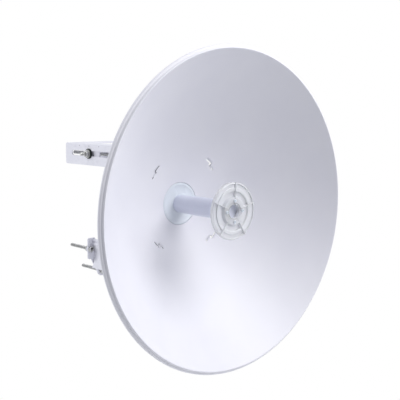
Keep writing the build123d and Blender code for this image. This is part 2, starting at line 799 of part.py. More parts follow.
with BuildPart() as port_cover:
    with BuildSketch(side(hinge_half_width - cover_gap)):
        with Locations(hinge_centre):
            Circle(2.3)
        with Locations((hinge_centre[0] + 15, hinge_centre[1] + 0.9)):
            Rectangle(30, 2.6)
        with Locations(hinge_centre):
            Circle(hinge_pin_radius + running_fit, mode=Mode.SUBTRACT)
    extrude(amount=2 * (hinge_half_width - cover_gap))
    with BuildSketch(Plane.XY.offset(hinge_centre[1] - 3)):
        with Locations((hinge_centre[0] + 30, port_centre[1])):
            SlotOverall(22, 8)
    extrude(amount=6, mode=Mode.SUBTRACT)
port_cover.part.label = "port_cover"
export_step(port_cover.part, "parts/port_cover.step")

with BuildPart() as port_cover_pin:
    with BuildSketch(side(hinge_half_width + lug_sheet)):
        with Locations(hinge_centre):
            Circle(hinge_pin_radius)
    extrude(amount=2 * (hinge_half_width + lug_sheet))
port_cover_pin.part.label = "port_cover_pin"
export_step(port_cover_pin.part, "parts/port_cover_pin.step")

# ---- Elevation arm -------------------------------------------------------------------------

arm_front_x = arm_pivot[0] + arm_nose
arm_slot = (slot_centre_x, arm_pivot[1])
with BuildPart() as elevation_arm:
    with BuildSketch(Plane.YZ.offset(arm_rear_x)):
        with Locations((0, (arm_top_z + arm_bottom_z) / 2)):
            Rectangle(2 * arm_outer_y, arm_top_z - arm_bottom_z)
        with Locations((0, (arm_top_z + arm_bottom_z) / 2 - arm_sheet)):
            Rectangle(2 * arm_inner_y, arm_top_z - arm_bottom_z, mode=Mode.SUBTRACT)
    extrude(amount=arm_front_x - arm_rear_x)
    bends = elevation_arm.edges().filter_by(Axis.X).group_by(Axis.Z)
    fillet(bends[-1], arm_bend)
    inner_bends = elevation_arm.edges().filter_by(Axis.X).filter_by_position(
        Axis.Z, arm_top_z - arm_sheet - 0.1, arm_top_z - arm_sheet + 0.1)
    fillet(inner_bends, arm_bend - arm_sheet)
    with BuildSketch(side(arm_outer_y)):
        with Locations(arm_slot):
            SlotOverall(slot_length, slot_width)
        with Locations(arm_pivot):
            Circle(bolt_radius + running_fit)
    extrude(amount=2 * arm_outer_y, mode=Mode.SUBTRACT)
    with BuildSketch(Plane.XY.offset(arm_top_z)):
        with Locations(((opening_rear_x + opening_front_x) / 2, 0)):
            RectangleRounded(opening_front_x - opening_rear_x, 2 * opening_half_width, 8)
    extrude(amount=-arm_sheet, mode=Mode.SUBTRACT)
    lower_corners = elevation_arm.edges().filter_by(Axis.Y).group_by(Axis.Z)[0]
    fillet(lower_corners.group_by(Axis.X)[0], arm_tail_corner)
    lower_corners = elevation_arm.edges().filter_by(Axis.Y).group_by(Axis.Z)[0]
    fillet(lower_corners.group_by(Axis.X)[-1], arm_nose_corner)
elevation_arm.part.label = "elevation_arm"
export_step(elevation_arm.part, "parts/elevation_arm.step")

# pivot of the arm: spacer, bolt from outside, nut inside the frame's flange
spacer_inner_y = frame_outer_y + washer_gap
spacer_outer_y = arm_inner_y - washer_gap
with BuildPart() as arm_pivot_spacers:
    with BuildSketch(side(spacer_outer_y)):
        with Locations(arm_pivot):
            Circle(9.0)
            Circle(bolt_radius + running_fit, mode=Mode.SUBTRACT)
    extrude(amount=spacer_outer_y - spacer_inner_y)
    mirror(about=Plane.XZ)
arm_pivot_spacers.part.label = "arm_pivot_spacers"
export_step(arm_pivot_spacers.part, "parts/arm_pivot_spacers.step")

with BuildPart() as arm_pivot_bolts:
    with BuildSketch(side(arm_outer_y + washer_gap + head_height)):
        with Locations(arm_pivot):
            RegularPolygon(bolt_flats / 2, 6, major_radius=False)
    extrude(amount=head_height)
    with BuildSketch(side(arm_outer_y + washer_gap)):
        with Locations(arm_pivot):
            Circle(bolt_radius)
    extrude(amount=arm_outer_y + washer_gap - frame_inner_y + nut_height + 2.5)
    mirror(about=Plane.XZ)
arm_pivot_bolts.part.label = "arm_pivot_bolts"
export_step(arm_pivot_bolts.part, "parts/arm_pivot_bolts.step")

with BuildPart() as arm_pivot_nuts:
    with BuildSketch(side(frame_inner_y)):
        with Locations(arm_pivot):
            RegularPolygon(bolt_flats / 2, 6, major_radius=False)
            Circle(bolt_radius + running_fit, mode=Mode.SUBTRACT)
    extrude(amount=nut_height)
    mirror(about=Plane.XZ)
arm_pivot_nuts.part.label = "arm_pivot_nuts"
export_step(arm_pivot_nuts.part, "parts/arm_pivot_nuts.step")

# ---- Lower clamp ---------------------------------------------------------------------------

ear_front_x = ear_x + ear_sheet
web_top_z = saddle_top - 12.0
web_bottom_z = saddle_bottom + 5.0
web_middle_z = (web_top_z + web_bottom_z) / 2
with BuildPart() as lower_bracket:
    # side cheek: a top rail, a hollowed web and a bottom rail, along X
    with BuildSketch(Plane.YZ.offset(ear_front_x)):
        with BuildLine():
            Polyline(
                (rail_outer_y, web_bottom_z),
                (rail_outer_y, saddle_bottom),
                (rail_inner_y, saddle_bottom),
                (rail_inner_y, saddle_top),
                (rail_outer_y, saddle_top),
                (rail_outer_y, web_top_z),
            )
            ThreePointArc(
                (rail_outer_y, web_top_z),
                (rail_outer_y - web_hollow, web_middle_z),
                (rail_outer_y, web_bottom_z),
            )
        make_face()
    extrude(amount=bracket_front_x - ear_front_x)
    # groove along the top rail
    with BuildSketch(side(rail_outer_y)):
        with Locations((ear_front_x + 14, saddle_top - 5.0)):
            SlotOverall(26, 3.0)
    extrude(amount=2.0, mode=Mode.SUBTRACT)
    # boss around the tilt pivot
    with BuildSketch(side(rail_outer_y)):
        with Locations(tilt_pivot):
            Circle(pivot_boss)
        with Locations((bracket_front_x - 12, tilt_pivot[1])):
            Rectangle(24, 2 * pivot_boss)
        make_hull()
    extrude(amount=rail_outer_y - rail_inner_y)
    # bottom shelf and the two ears for the clamp bolts
    with BuildSketch(Plane.XY.offset(saddle_bottom)):
        with Locations(((ear_x + bracket_front_x) / 2, (shelf_inner_y + rail_outer_y) / 2)):
            Rectangle(bracket_front_x - ear_x, rail_outer_y - shelf_inner_y)
    extrude(amount=shelf_sheet)
    with BuildSketch(Plane.YZ.offset(ear_x)):
        with Locations(((rail_inner_y + upper_bolt[0] + ear_margin) / 2, upper_bolt[1] + 1.0)):
            RectangleRounded(upper_bolt[0] + ear_margin - rail_inner_y, ear_height, 4.0)
    extrude(amount=ear_sheet)
    with BuildSketch(Plane.YZ.offset(ear_x)):
        with Locations(lower_bolt):
            Circle(lower_ear_radius)
        with Locations((lower_bolt[0], saddle_bottom + shelf_sheet / 2)):
            Rectangle(2 * lower_ear_radius, shelf_sheet)
        make_hull()
    extrude(amount=ear_sheet)
    mirror(about=Plane.XZ)
    # front wall with the saddle
    with BuildSketch(Plane.YZ.offset(bracket_front_x - bracket_front_wall)):
        with Locations((0, (saddle_top + saddle_bottom) / 2)):
            Rectangle(2 * rail_inner_y + 2, saddle_top - saddle_bottom)
    extrude(amount=bracket_front_wall)
    with BuildSketch(Plane.YZ.offset(bracket_front_x - bracket_front_wall)):
        with Locations((0, (saddle_top + saddle_bottom) / 2)):
            Rectangle(2 * saddle_half_width, saddle_top - saddle_bottom)
    extrude(amount=saddle_tip_x - bracket_front_x + bracket_front_wall)
    with BuildSketch(Plane.XY.offset(saddle_bottom)):
        Circle(pole_radius)
    extrude(amount=saddle_top - saddle_bottom, mode=Mode.SUBTRACT)
    with BuildSketch(Plane.XY.offset(saddle_bottom)):
        Circle(pole_radius + pole_clearance)
        with Locations((pole_radius, 0)):
            Rectangle(2 * pole_radius, 2 * saddle_half_width, mode=Mode.SUBTRACT)
    extrude(amount=saddle_top - saddle_bottom, mode=Mode.SUBTRACT)
    with BuildSketch(Plane.YZ.offset(ear_x)):
        with Locations(*both_sides(upper_bolt), *both_sides(lower_bolt)):
            Circle(bolt_radius + hole_fit)
    extrude(amount=ear_sheet, mode=Mode.SUBTRACT)
    with BuildSketch(side(rail_outer_y)):
        with Locations(tilt_pivot):
            Circle(bolt_radius + running_fit)
    extrude(amount=2 * rail_outer_y, mode=Mode.SUBTRACT)
    # room for the pivot's nuts beside the front wall
    for nut_face_y in (rail_inner_y, -rail_inner_y + nut_pocket_depth):
        with BuildSketch(side(nut_face_y)):
            with Locations(tilt_pivot):
                Circle(nut_pocket_radius)
        extrude(amount=nut_pocket_depth, mode=Mode.SUBTRACT)
lower_bracket.part.label = "lower_bracket"
export_step(lower_bracket.part, "parts/lower_bracket.step")

lower_bolt_places = both_sides(upper_bolt) + both_sides(lower_bolt)
lower_clamp_bolts = hex_bolts(lower_bolt_places, ear_front_x, clamp_bolt_tip_x, -1)
lower_clamp_bolts.part.label = "lower_clamp_bolts"
export_step(lower_clamp_bolts.part, "parts/lower_clamp_bolts.step")

jaw_front_x = ear_x - jaw_gap
jaw_back_x = jaw_front_x - jaw_sheet
with BuildPart() as lower_rear_jaw:
    with BuildSketch(Plane.YZ.offset(jaw_back_x)):
        with Locations(*both_sides(upper_bolt)):
            Circle(9.0)
        with Locations(*both_sides(lower_bolt)):
            Circle(10.0)
        make_hull()
    extrude(amount=jaw_sheet)
    with BuildSketch(Plane.YZ.offset(jaw_back_x)):
        with Locations((0, (saddle_top + saddle_bottom) / 2)):
            Rectangle(2 * saddle_half_width, saddle_top - saddle_bottom)
    extrude(amount=-saddle_tip_x - jaw_back_x)
    with BuildSketch(Plane.XY.offset(saddle_bottom)):
        Circle(pole_radius)
    extrude(amount=saddle_top - saddle_bottom, mode=Mode.SUBTRACT)
    with BuildSketch(Plane.YZ.offset(jaw_back_x)):
        with Locations((0, (saddle_top + saddle_bottom) / 2)):
            Rectangle(2 * saddle_half_width - 8, saddle_top - saddle_bottom - 12)
    extrude(amount=jaw_pocket_depth, mode=Mode.SUBTRACT)
    with BuildSketch(Plane.YZ.offset(jaw_back_x)):
        with Locations(*lower_bolt_places):
            Circle(bolt_radius + hole_fit)
    extrude(amount=jaw_sheet, mode=Mode.SUBTRACT)
lower_rear_jaw.part.label = "lower_rear_jaw"
export_step(lower_rear_jaw.part, "parts/lower_rear_jaw.step")

lower_clamp_nuts = nuts_along_x(lower_bolt_places, jaw_back_x, -1, flange_radius=8.5)
lower_clamp_nuts.part.label = "lower_clamp_nuts"
export_step(lower_clamp_nuts.part, "parts/lower_clamp_nuts.step")

# tilt pivot: bolt from outside, washer between frame and bracket, nut inside the cheek
with BuildPart() as tilt_pivot_bolts:
    with BuildSketch(side(frame_outer_y + washer_gap + head_height)):
        with Locations(tilt_pivot):
            RegularPolygon(bolt_flats / 2, 6, major_radius=False)
    extrude(amount=head_height)
    with BuildSketch(side(frame_outer_y + washer_gap)):
        with Locations(tilt_pivot):
            Circle(bolt_radius)
    extrude(amount=frame_outer_y + washer_gap - rail_inner_y + nut_height + 2.5)
    mirror(about=Plane.XZ)
tilt_pivot_bolts.part.label = "tilt_pivot_bolts"
export_step(tilt_pivot_bolts.part, "parts/tilt_pivot_bolts.step")

with BuildPart() as tilt_pivot_washers:
    with BuildSketch(side(frame_inner_y - washer_gap)):
        with Locations(tilt_pivot):
            Circle(12.0)
            Circle(bolt_radius + running_fit, mode=Mode.SUBTRACT)
    extrude(amount=frame_inner_y - rail_outer_y - 2 * washer_gap)
    mirror(about=Plane.XZ)
tilt_pivot_washers.part.label = "tilt_pivot_washers"
export_step(tilt_pivot_washers.part, "parts/tilt_pivot_washers.step")

with BuildPart() as tilt_pivot_nuts:
    with BuildSketch(side(rail_inner_y)):
        with Locations(tilt_pivot):
            RegularPolygon(bolt_flats / 2, 6, major_radius=False)
            Circle(bolt_radius + running_fit, mode=Mode.SUBTRACT)
    extrude(amount=nut_height)
    mirror(about=Plane.XZ)
tilt_pivot_nuts.part.label = "tilt_pivot_nuts"
export_step(tilt_pivot_nuts.part, "parts/tilt_pivot_nuts.step")

# ---- Upper clamp ---------------------------------------------------------------------------

upper_z = arm_pivot[1]
rod_places = both_sides((rod_y, upper_z))
with BuildPart() as upper_front_jaw:
    with BuildSketch(Plane.YZ.offset(saddle_tip_x)):
        with Locations((0, upper_z)):
            Rectangle(2 * saddle_half_width, 2 * upper_saddle_half_height)
    extrude(amount=upper_block_front_x - saddle_tip_x)
    fillet(upper_front_jaw.faces().sort_by(Axis.X)[-1].edges(), 3.0)
    with BuildSketch(Plane.YZ.offset(upper_ear_x)):
        with Locations((0, upper_z)):
            Rectangle(2 * wing_outer_y, 2 * upper_ear_half_height)
    extrude(amount=upper_ear_sheet)
    with BuildSketch(Plane.XY.offset(upper_z - upper_saddle_half_height)):
        Circle(pole_radius)
    extrude(amount=2 * upper_saddle_half_height, mode=Mode.SUBTRACT)
    with BuildSketch(Plane.YZ.offset(upper_ear_x)):
        with Locations(*rod_places):
            Circle(bolt_radius + hole_fit)
    extrude(amount=upper_ear_sheet, mode=Mode.SUBTRACT)
upper_front_jaw.part.label = "upper_front_jaw"
export_step(upper_front_jaw.part, "parts/upper_front_jaw.step")

with BuildPart() as upper_clamp_rods:
    with BuildSketch(Plane.YZ.offset(rod_rear_x)):
        with Locations(*rod_places):
            Circle(bolt_radius)
    extrude(amount=rod_front_x - rod_rear_x)
    chamfer(upper_clamp_rods.edges().filter_by(GeomType.CIRCLE), 1.2)
upper_clamp_rods.part.label = "upper_clamp_rods"
export_step(upper_clamp_rods.part, "parts/upper_clamp_rods.step")

upper_front_nuts = nuts_along_x(rod_places, upper_ear_x + upper_ear_sheet, 1)
upper_front_nuts.part.label = "upper_front_nuts"
export_step(upper_front_nuts.part, "parts/upper_front_nuts.step")

cross_bolt = (cross_bolt_x, upper_z)
with BuildPart() as upper_rear_jaw:
    with BuildSketch(Plane.YZ.offset(upper_web_x)):
        with Locations((0, upper_z)):
            Rectangle(2 * wing_outer_y, 2 * upper_rear_half_height)
    extrude(amount=upper_web_sheet)
    with BuildSketch(Plane.YZ.offset(upper_web_x)):
        with Locations((0, upper_z)):
            Rectangle(2 * saddle_half_width, 2 * upper_saddle_half_height)
    extrude(amount=-saddle_tip_x - upper_web_x)
    with BuildSketch(side(wing_outer_y)):
        with Locations(((upper_web_x + wing_front_x) / 2, upper_z)):
            Rectangle(wing_front_x - upper_web_x, 2 * upper_rear_half_height)
    extrude(amount=wing_outer_y - wing_inner_y)
    with BuildSketch(side(-wing_inner_y)):
        with Locations(((upper_web_x + wing_front_x) / 2, upper_z)):
            Rectangle(wing_front_x - upper_web_x, 2 * upper_rear_half_height)
    extrude(amount=wing_outer_y - wing_inner_y)
    with BuildSketch(Plane.XY.offset(upper_z - upper_saddle_half_height)):
        Circle(pole_radius)
    extrude(amount=2 * upper_saddle_half_height, mode=Mode.SUBTRACT)
    with BuildSketch(Plane.YZ.offset(upper_web_x)):
        with Locations(*rod_places):
            Circle(bolt_radius + hole_fit)
    extrude(amount=upper_web_sheet, mode=Mode.SUBTRACT)
    with BuildSketch(side(wing_outer_y)):
        with Locations(cross_bolt):
            Circle(bolt_radius + running_fit)
    extrude(amount=2 * wing_outer_y, mode=Mode.SUBTRACT)
upper_rear_jaw.part.label = "upper_rear_jaw"
export_step(upper_rear_jaw.part, "parts/upper_rear_jaw.step")

upper_rear_nuts = nuts_along_x(rod_places, upper_web_x, -1, flange_radius=8.5)
upper_rear_nuts.part.label = "upper_rear_nuts"
export_step(upper_rear_nuts.part, "parts/upper_rear_nuts.step")

# studs pressed into the rear jaw's wings, which slide in the arm's slots
with BuildPart() as cross_bolts:
    with BuildSketch(side(arm_outer_y + cross_bolt_out)):
        with Locations(cross_bolt):
            Circle(bolt_radius)
    extrude(amount=arm_outer_y + cross_bolt_out - wing_inner_y)
    chamfer(cross_bolts.faces().sort_by(Axis.Y)[-1].edges(), 1.2)
    mirror(about=Plane.XZ)
cross_bolts.part.label = "cross_bolts"
export_step(cross_bolts.part, "parts/cross_bolts.step")

dark_washer_thickness = 3.0
flat_washer_thickness = 1.6
dark_washer_y = arm_outer_y + washer_gap
flat_washer_y = dark_washer_y + dark_washer_thickness
cross_nut_y = flat_washer_y + flat_washer_thickness
with BuildPart() as cross_bolt_pads:
    with BuildSketch(side(flat_washer_y)):
        with Locations(cross_bolt):
            Circle(11.5)
            Circle(bolt_radius + running_fit, mode=Mode.SUBTRACT)
    extrude(amount=dark_washer_thickness)
    mirror(about=Plane.XZ)
cross_bolt_pads.part.label = "cross_bolt_pads"
export_step(cross_bolt_pads.part, "parts/cross_bolt_pads.step")

with BuildPart() as cross_bolt_washers:
    with BuildSketch(side(cross_nut_y)):
        with Locations(cross_bolt):
            Circle(9.0)
            Circle(bolt_radius + running_fit, mode=Mode.SUBTRACT)
    extrude(amount=flat_washer_thickness)
    mirror(about=Plane.XZ)
cross_bolt_washers.part.label = "cross_bolt_washers"
export_step(cross_bolt_washers.part, "parts/cross_bolt_washers.step")

with BuildPart() as cross_bolt_nuts:
    with BuildSketch(side(cross_nut_y + nut_height)):
        with Locations(cross_bolt):
            RegularPolygon(bolt_flats / 2, 6, major_radius=False)
            Circle(bolt_radius + running_fit, mode=Mode.SUBTRACT)
    extrude(amount=nut_height)
    mirror(about=Plane.XZ)
cross_bolt_nuts.part.label = "cross_bolt_nuts"
export_step(cross_bolt_nuts.part, "parts/cross_bolt_nuts.step")
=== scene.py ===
# %% [markdown]
# # A dish antenna for a microwave link
# The real object is a spun aluminium dish on a pole. A grey feed tube stands up from its middle and carries a
# clear disc that throws the signal back into the dish. Behind the dish are the radio, a folded steel tilt frame,
# a slotted arm that sets the tilt, and two clamps for the pole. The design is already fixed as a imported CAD
# model, so this lesson only gives it its looks: every piece is built where the CAD node that it stands for is.

# %% Load the fixed frame
import json
from math import asin, cos, pi, radians, sin, sqrt, tau

import bmesh
import bpy
from mathutils import Matrix, Vector


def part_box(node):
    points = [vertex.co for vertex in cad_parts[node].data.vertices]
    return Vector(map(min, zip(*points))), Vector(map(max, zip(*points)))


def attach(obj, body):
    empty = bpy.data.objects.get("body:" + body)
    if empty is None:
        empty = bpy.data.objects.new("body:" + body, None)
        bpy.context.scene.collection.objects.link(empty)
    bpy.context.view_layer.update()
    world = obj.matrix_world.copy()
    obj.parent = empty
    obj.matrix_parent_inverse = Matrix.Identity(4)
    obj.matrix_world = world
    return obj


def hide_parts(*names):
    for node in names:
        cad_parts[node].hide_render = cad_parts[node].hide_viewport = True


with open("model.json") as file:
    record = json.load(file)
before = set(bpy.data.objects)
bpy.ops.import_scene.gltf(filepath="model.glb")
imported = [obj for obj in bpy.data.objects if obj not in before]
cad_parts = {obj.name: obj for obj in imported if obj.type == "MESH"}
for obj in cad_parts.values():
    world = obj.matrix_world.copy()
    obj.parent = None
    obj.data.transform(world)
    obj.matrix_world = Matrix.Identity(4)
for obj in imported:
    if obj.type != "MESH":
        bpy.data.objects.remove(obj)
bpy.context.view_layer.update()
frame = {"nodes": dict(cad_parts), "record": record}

MM = 0.001

# %% [markdown]
# ## The studio
# Product pictures of white goods are taken on a pale sweep with large soft lights, so that a white part shows by
# gentle shading alone. Here the sky is white where the camera and the clear plastic look at it, and dimmer where it
# lights the object, which leaves room for a key light to shape the dish.

# %% Camera
camera_data = bpy.data.cameras.new("camera")
camera_data.sensor_width = 36.0
camera_data.lens = 70.2
camera = bpy.data.objects.new("camera", camera_data)
camera.location = (1.4224, -1.0657, 0.3451)
camera.rotation_euler = (radians(83.12), radians(-0.171), radians(47.889))
bpy.context.scene.collection.objects.link(camera)
bpy.context.scene.camera = camera
bpy.context.scene.view_settings.view_transform = "Standard"
print("camera lens", camera_data.lens)

# %% Sky
world = bpy.data.worlds.new("studio_sky")
bpy.context.scene.world = world
world.use_nodes = True
sky = world.node_tree
sky.nodes.clear()
sky_out = sky.nodes.new("ShaderNodeOutputWorld")
sky_mix = sky.nodes.new("ShaderNodeMixShader")
sky_light = sky.nodes.new("ShaderNodeBackground")
sky_light.inputs["Color"].default_value = (0.93, 0.95, 1.0, 1.0)
sky_seen = sky.nodes.new("ShaderNodeBackground")
sky_seen.inputs["Color"].default_value = (1.0, 1.0, 1.0, 1.0)
sky_seen.inputs["Strength"].default_value = 1.0
sky_way = sky.nodes.new("ShaderNodeTexCoord")
sky_facing = sky.nodes.new("ShaderNodeVectorMath")
sky_facing.operation = "DOT_PRODUCT"
sky_facing.inputs[1].default_value = (0.74, -0.66, -0.10)
sky_fall = sky.nodes.new("ShaderNodeMapRange")
sky_fall.interpolation_type = "SMOOTHSTEP"
sky_fall.inputs["From Min"].default_value = 0.0
sky_fall.inputs["From Max"].default_value = 0.9
sky_fall.inputs["To Min"].default_value = 0.74
sky_fall.inputs["To Max"].default_value = 0.30
sky.links.new(sky_way.outputs["Generated"], sky_facing.inputs[0])
sky.links.new(sky_facing.outputs["Value"], sky_fall.inputs["Value"])
sky.links.new(sky_fall.outputs["Result"], sky_light.inputs["Strength"])
sky_path = sky.nodes.new("ShaderNodeLightPath")
sky_either = sky.nodes.new("ShaderNodeMath")
sky_either.operation = "MAXIMUM"
sky.links.new(sky_path.outputs["Is Camera Ray"], sky_either.inputs[0])
sky.links.new(sky_path.outputs["Is Transmission Ray"], sky_either.inputs[1])
sky.links.new(sky_either.outputs[0], sky_mix.inputs[0])
sky.links.new(sky_light.outputs[0], sky_mix.inputs[1])
sky.links.new(sky_seen.outputs[0], sky_mix.inputs[2])
sky.links.new(sky_mix.outputs[0], sky_out.inputs["Surface"])


# %% Lights
def soft_light(name, place, aim, size, power, colour):
    """A square area light that looks at a point."""
    data = bpy.data.lights.new(name, "AREA")
    data.size = size
    data.energy = power
    data.color = colour
    lamp = bpy.data.objects.new(name, data)
    lamp.location = place
    lamp.rotation_euler = (Vector(aim) - Vector(place)).to_track_quat("-Z", "Y").to_euler()
    bpy.context.scene.collection.objects.link(lamp)
    return lamp


dish_low, dish_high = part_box("reflector")
dish_middle = (dish_low + dish_high) / 2
key_way = Vector((0.62, 0.36, 0.70))
key_distance = 2.3
soft_light("key", dish_middle + key_way * key_distance, dish_middle, 1.7, 45.0, (1.0, 0.99, 0.98))
arm_middle = sum(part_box("elevation_arm"), Vector()) / 2
soft_light("side", arm_middle + Vector((-0.9, -1.7, 0.4)), arm_middle, 1.2, 16.0, (0.99, 0.99, 1.0))


# %% [markdown]
# ## Finishes
# Each finish is a Principled shader with its grain worked out from noise in Object coordinates, so it needs no
# pictures and no unwrapping. Powder coat has a fine orange peel, cast parts a coarser one, plated steel a varied
# gloss, and moulded plastic a fine spark-eroded texture. Grain is kept at its real size, well under a millimetre.

# %% One recipe for grained surfaces
def grained(name, light, dark, rough, metallic=0.0, grain=900.0, bump=0.08, patch=9.0, rough_spread=0.08):
    """A Principled material: colour and gloss drift in soft patches, and a fine grain lifts the surface."""
    material = bpy.data.materials.new(name)
    material.use_nodes = True
    tree = material.node_tree
    shader = tree.nodes["Principled BSDF"]
    shader.inputs["Metallic"].default_value = metallic
    place = tree.nodes.new("ShaderNodeTexCoord")
    patches = tree.nodes.new("ShaderNodeTexNoise")
    patches.inputs["Scale"].default_value = patch
    patches.inputs["Detail"].default_value = 4.0
    tree.links.new(place.outputs["Object"], patches.inputs["Vector"])
    ramp = tree.nodes.new("ShaderNodeValToRGB")
    ramp.color_ramp.elements[0].position = 0.3
    ramp.color_ramp.elements[0].color = (*dark, 1.0)
    ramp.color_ramp.elements[1].position = 0.7
    ramp.color_ramp.elements[1].color = (*light, 1.0)
    tree.links.new(patches.outputs["Fac"], ramp.inputs["Fac"])
    tree.links.new(ramp.outputs["Color"], shader.inputs["Base Color"])
    gloss = tree.nodes.new("ShaderNodeMapRange")
    gloss.inputs["To Min"].default_value = rough - rough_spread
    gloss.inputs["To Max"].default_value = rough + rough_spread
    tree.links.new(patches.outputs["Fac"], gloss.inputs["Value"])
    tree.links.new(gloss.outputs["Result"], shader.inputs["Roughness"])
    fine = tree.nodes.new("ShaderNodeTexNoise")
    fine.inputs["Scale"].default_value = grain
    fine.inputs["Detail"].default_value = 3.0
    tree.links.new(place.outputs["Object"], fine.inputs["Vector"])
    lift = tree.nodes.new("ShaderNodeBump")
    lift.inputs["Strength"].default_value = bump
    lift.inputs["Distance"].default_value = 0.4 * MM
    tree.links.new(fine.outputs["Fac"], lift.inputs["Height"])
    tree.links.new(lift.outputs["Normal"], shader.inputs["Normal"])
    return material


# %% The finishes of this antenna
finishes = {
    "powder_coat": grained("white_powder_coat", (0.80, 0.80, 0.86), (0.77, 0.77, 0.84), 0.42, grain=700.0),
    "pale_plastic": grained("pale_vertex_plastic", (0.76, 0.80, 0.86), (0.72, 0.77, 0.84), 0.30, bump=0.03),
    "feed_plastic": grained("blue_grey_feed_plastic", (0.70, 0.72, 0.83), (0.66, 0.69, 0.80), 0.40, bump=0.05),
    "white_plastic": grained("white_moulded_plastic", (0.80, 0.81, 0.83), (0.77, 0.78, 0.81), 0.5, grain=1500.0),
    "grey_plastic": grained("grey_moulded_plastic", (0.20, 0.21, 0.22), (0.17, 0.18, 0.19), 0.5, grain=1500.0),
    "lens_plastic": grained("frosted_lens", (0.70, 0.86, 0.74), (0.66, 0.83, 0.70), 0.3, bump=0.03),
    "black_nylon": grained("black_nylon", (0.030, 0.030, 0.034), (0.022, 0.022, 0.025), 0.45),
    "rubber": grained("black_rubber", (0.030, 0.030, 0.030), (0.022, 0.022, 0.022), 0.75, bump=0.15),
    "cast_aluminium": grained("cast_aluminium", (0.62, 0.63, 0.65), (0.53, 0.54, 0.56), 0.5, metallic=0.9, bump=0.3),
    "aluminium": grained("drawn_aluminium", (0.72, 0.73, 0.75), (0.64, 0.65, 0.68), 0.32, metallic=1.0, bump=0.05),
    "zinc_steel": grained("plated_steel", (0.68, 0.68, 0.66), (0.50, 0.50, 0.49), 0.38, metallic=1.0, grain=1800.0,
                          patch=160.0, rough_spread=0.12),
    "dark_washer": grained("dark_oxide_steel", (0.035, 0.045, 0.042), (0.020, 0.026, 0.024), 0.42, metallic=0.6),
    "tin_plate": grained("tin_plate", (0.66, 0.66, 0.64), (0.56, 0.56, 0.54), 0.36, metallic=1.0, patch=60.0),
    "brass": grained("brass", (0.72, 0.50, 0.20), (0.62, 0.41, 0.15), 0.3, metallic=1.0),
    "board": grained("solder_mask", (0.02, 0.14, 0.06), (0.015, 0.11, 0.05), 0.3, bump=0.05, patch=300.0),
}
print(len(finishes), "grained finishes")


# %% [markdown]
# The subreflector is moulded in clear polycarbonate. Real transmission through a mesh of the true thickness gives
# the bright rings and dark edges for free: they are the steps of the moulding bending the light.

# %% Clear plastic
def clear_plastic():
    """Clear polycarbonate with a faint blue cast and slightly uneven gloss."""
    material = bpy.data.materials.new("clear_polycarbonate")
    material.use_nodes = True
    tree = material.node_tree
    shader = tree.nodes["Principled BSDF"]
    shader.inputs["Base Color"].default_value = (0.94, 0.95, 0.98, 1.0)
    shader.inputs["Transmission Weight"].default_value = 0.48
    shader.inputs["IOR"].default_value = 1.5
    place = tree.nodes.new("ShaderNodeTexCoord")
    haze = tree.nodes.new("ShaderNodeTexNoise")
    haze.inputs["Scale"].default_value = 60.0
    tree.links.new(place.outputs["Object"], haze.inputs["Vector"])
    gloss = tree.nodes.new("ShaderNodeMapRange")
    gloss.inputs["To Min"].default_value = 0.10
    gloss.inputs["To Max"].default_value = 0.18
    tree.links.new(haze.outputs["Fac"], gloss.inputs["Value"])
    tree.links.new(gloss.outputs["Result"], shader.inputs["Roughness"])
    return material


finishes["clear_plastic"] = clear_plastic()

# %% [markdown]
# ## How pieces are made
# Nearly all of this object is turned or folded. A turned piece is a short outline spun about the dish's axis.
# A folded or cast piece already has its true shape in the CAD model, but its edges are knife sharp, and no real
# edge is: so a copy of the node is merged, cleaned and given a fine bevel that catches the light.

# %% Finishing a mesh
slot_of = {row["node"]: row["material_slot"] for row in frame["record"]["subparts"]}
body_of_node = {node: body for body, nodes in frame["record"]["behaviour"]["bodies"].items() for node in nodes}
axis_z = dish_middle.z


def finished(bm, name, node, finish=None, smooth=32.0):
    """Turns a bmesh into a piece that stands for a CAD node, rides on its body and takes its finish."""
    bmesh.ops.remove_doubles(bm, verts=bm.verts, dist=0.001 * MM)
    bmesh.ops.recalc_face_normals(bm, faces=bm.faces)
    mesh = bpy.data.meshes.new(name)
    bm.to_mesh(mesh)
    bm.free()
    mesh.shade_smooth()
    mesh.set_sharp_from_angle(angle=radians(smooth))
    piece = bpy.data.objects.new(name, mesh)
    bpy.context.scene.collection.objects.link(piece)
    mesh.materials.append(finish or finishes[slot_of[node]])
    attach(piece, body_of_node[node])
    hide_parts(node)
    return piece


# %% Rounded outlines
def rounded(corners, steps=5):
    """An outline of (x, r) points in millimetres. A third number rounds that corner by its radius."""
    outline = []
    count = len(corners)
    for index, corner in enumerate(corners):
        here = Vector(corner[:2])
        radius = corner[2] if len(corner) > 2 else 0.0
        if not radius:
            outline.append(here)
            continue
        back = (Vector(corners[index - 1][:2]) - here).normalized()
        ahead = (Vector(corners[(index + 1) % count][:2]) - here).normalized()
        half = back.angle(ahead) / 2
        reach = radius / max(0.05, abs(sin(half) / cos(half)))
        centre = here + (back + ahead).normalized() * (radius / sin(half))
        start = here + back * reach - centre
        end = here + ahead * reach - centre
        for step in range(steps + 1):
            outline.append(centre + start.slerp(end, step / steps))
    return outline


def spun(outline, turns=128, closed=True):
    """A bmesh made by spinning an outline of (x, r) millimetre points about the dish's axis."""
    bm = bmesh.new()
    points = [bm.verts.new((p[0] * MM, 0.0, axis_z + p[1] * MM)) for p in outline]
    edges = [bm.edges.new(pair) for pair in zip(points, points[1:])]
    if closed:
        edges.append(bm.edges.new((points[-1], points[0])))
    bmesh.ops.spin(bm, geom=points + edges, cent=(0, 0, axis_z), axis=(1, 0, 0), angle=tau, steps=turns,
                   use_merge=True)
    return bm


print("helpers ready for", len(slot_of), "nodes")


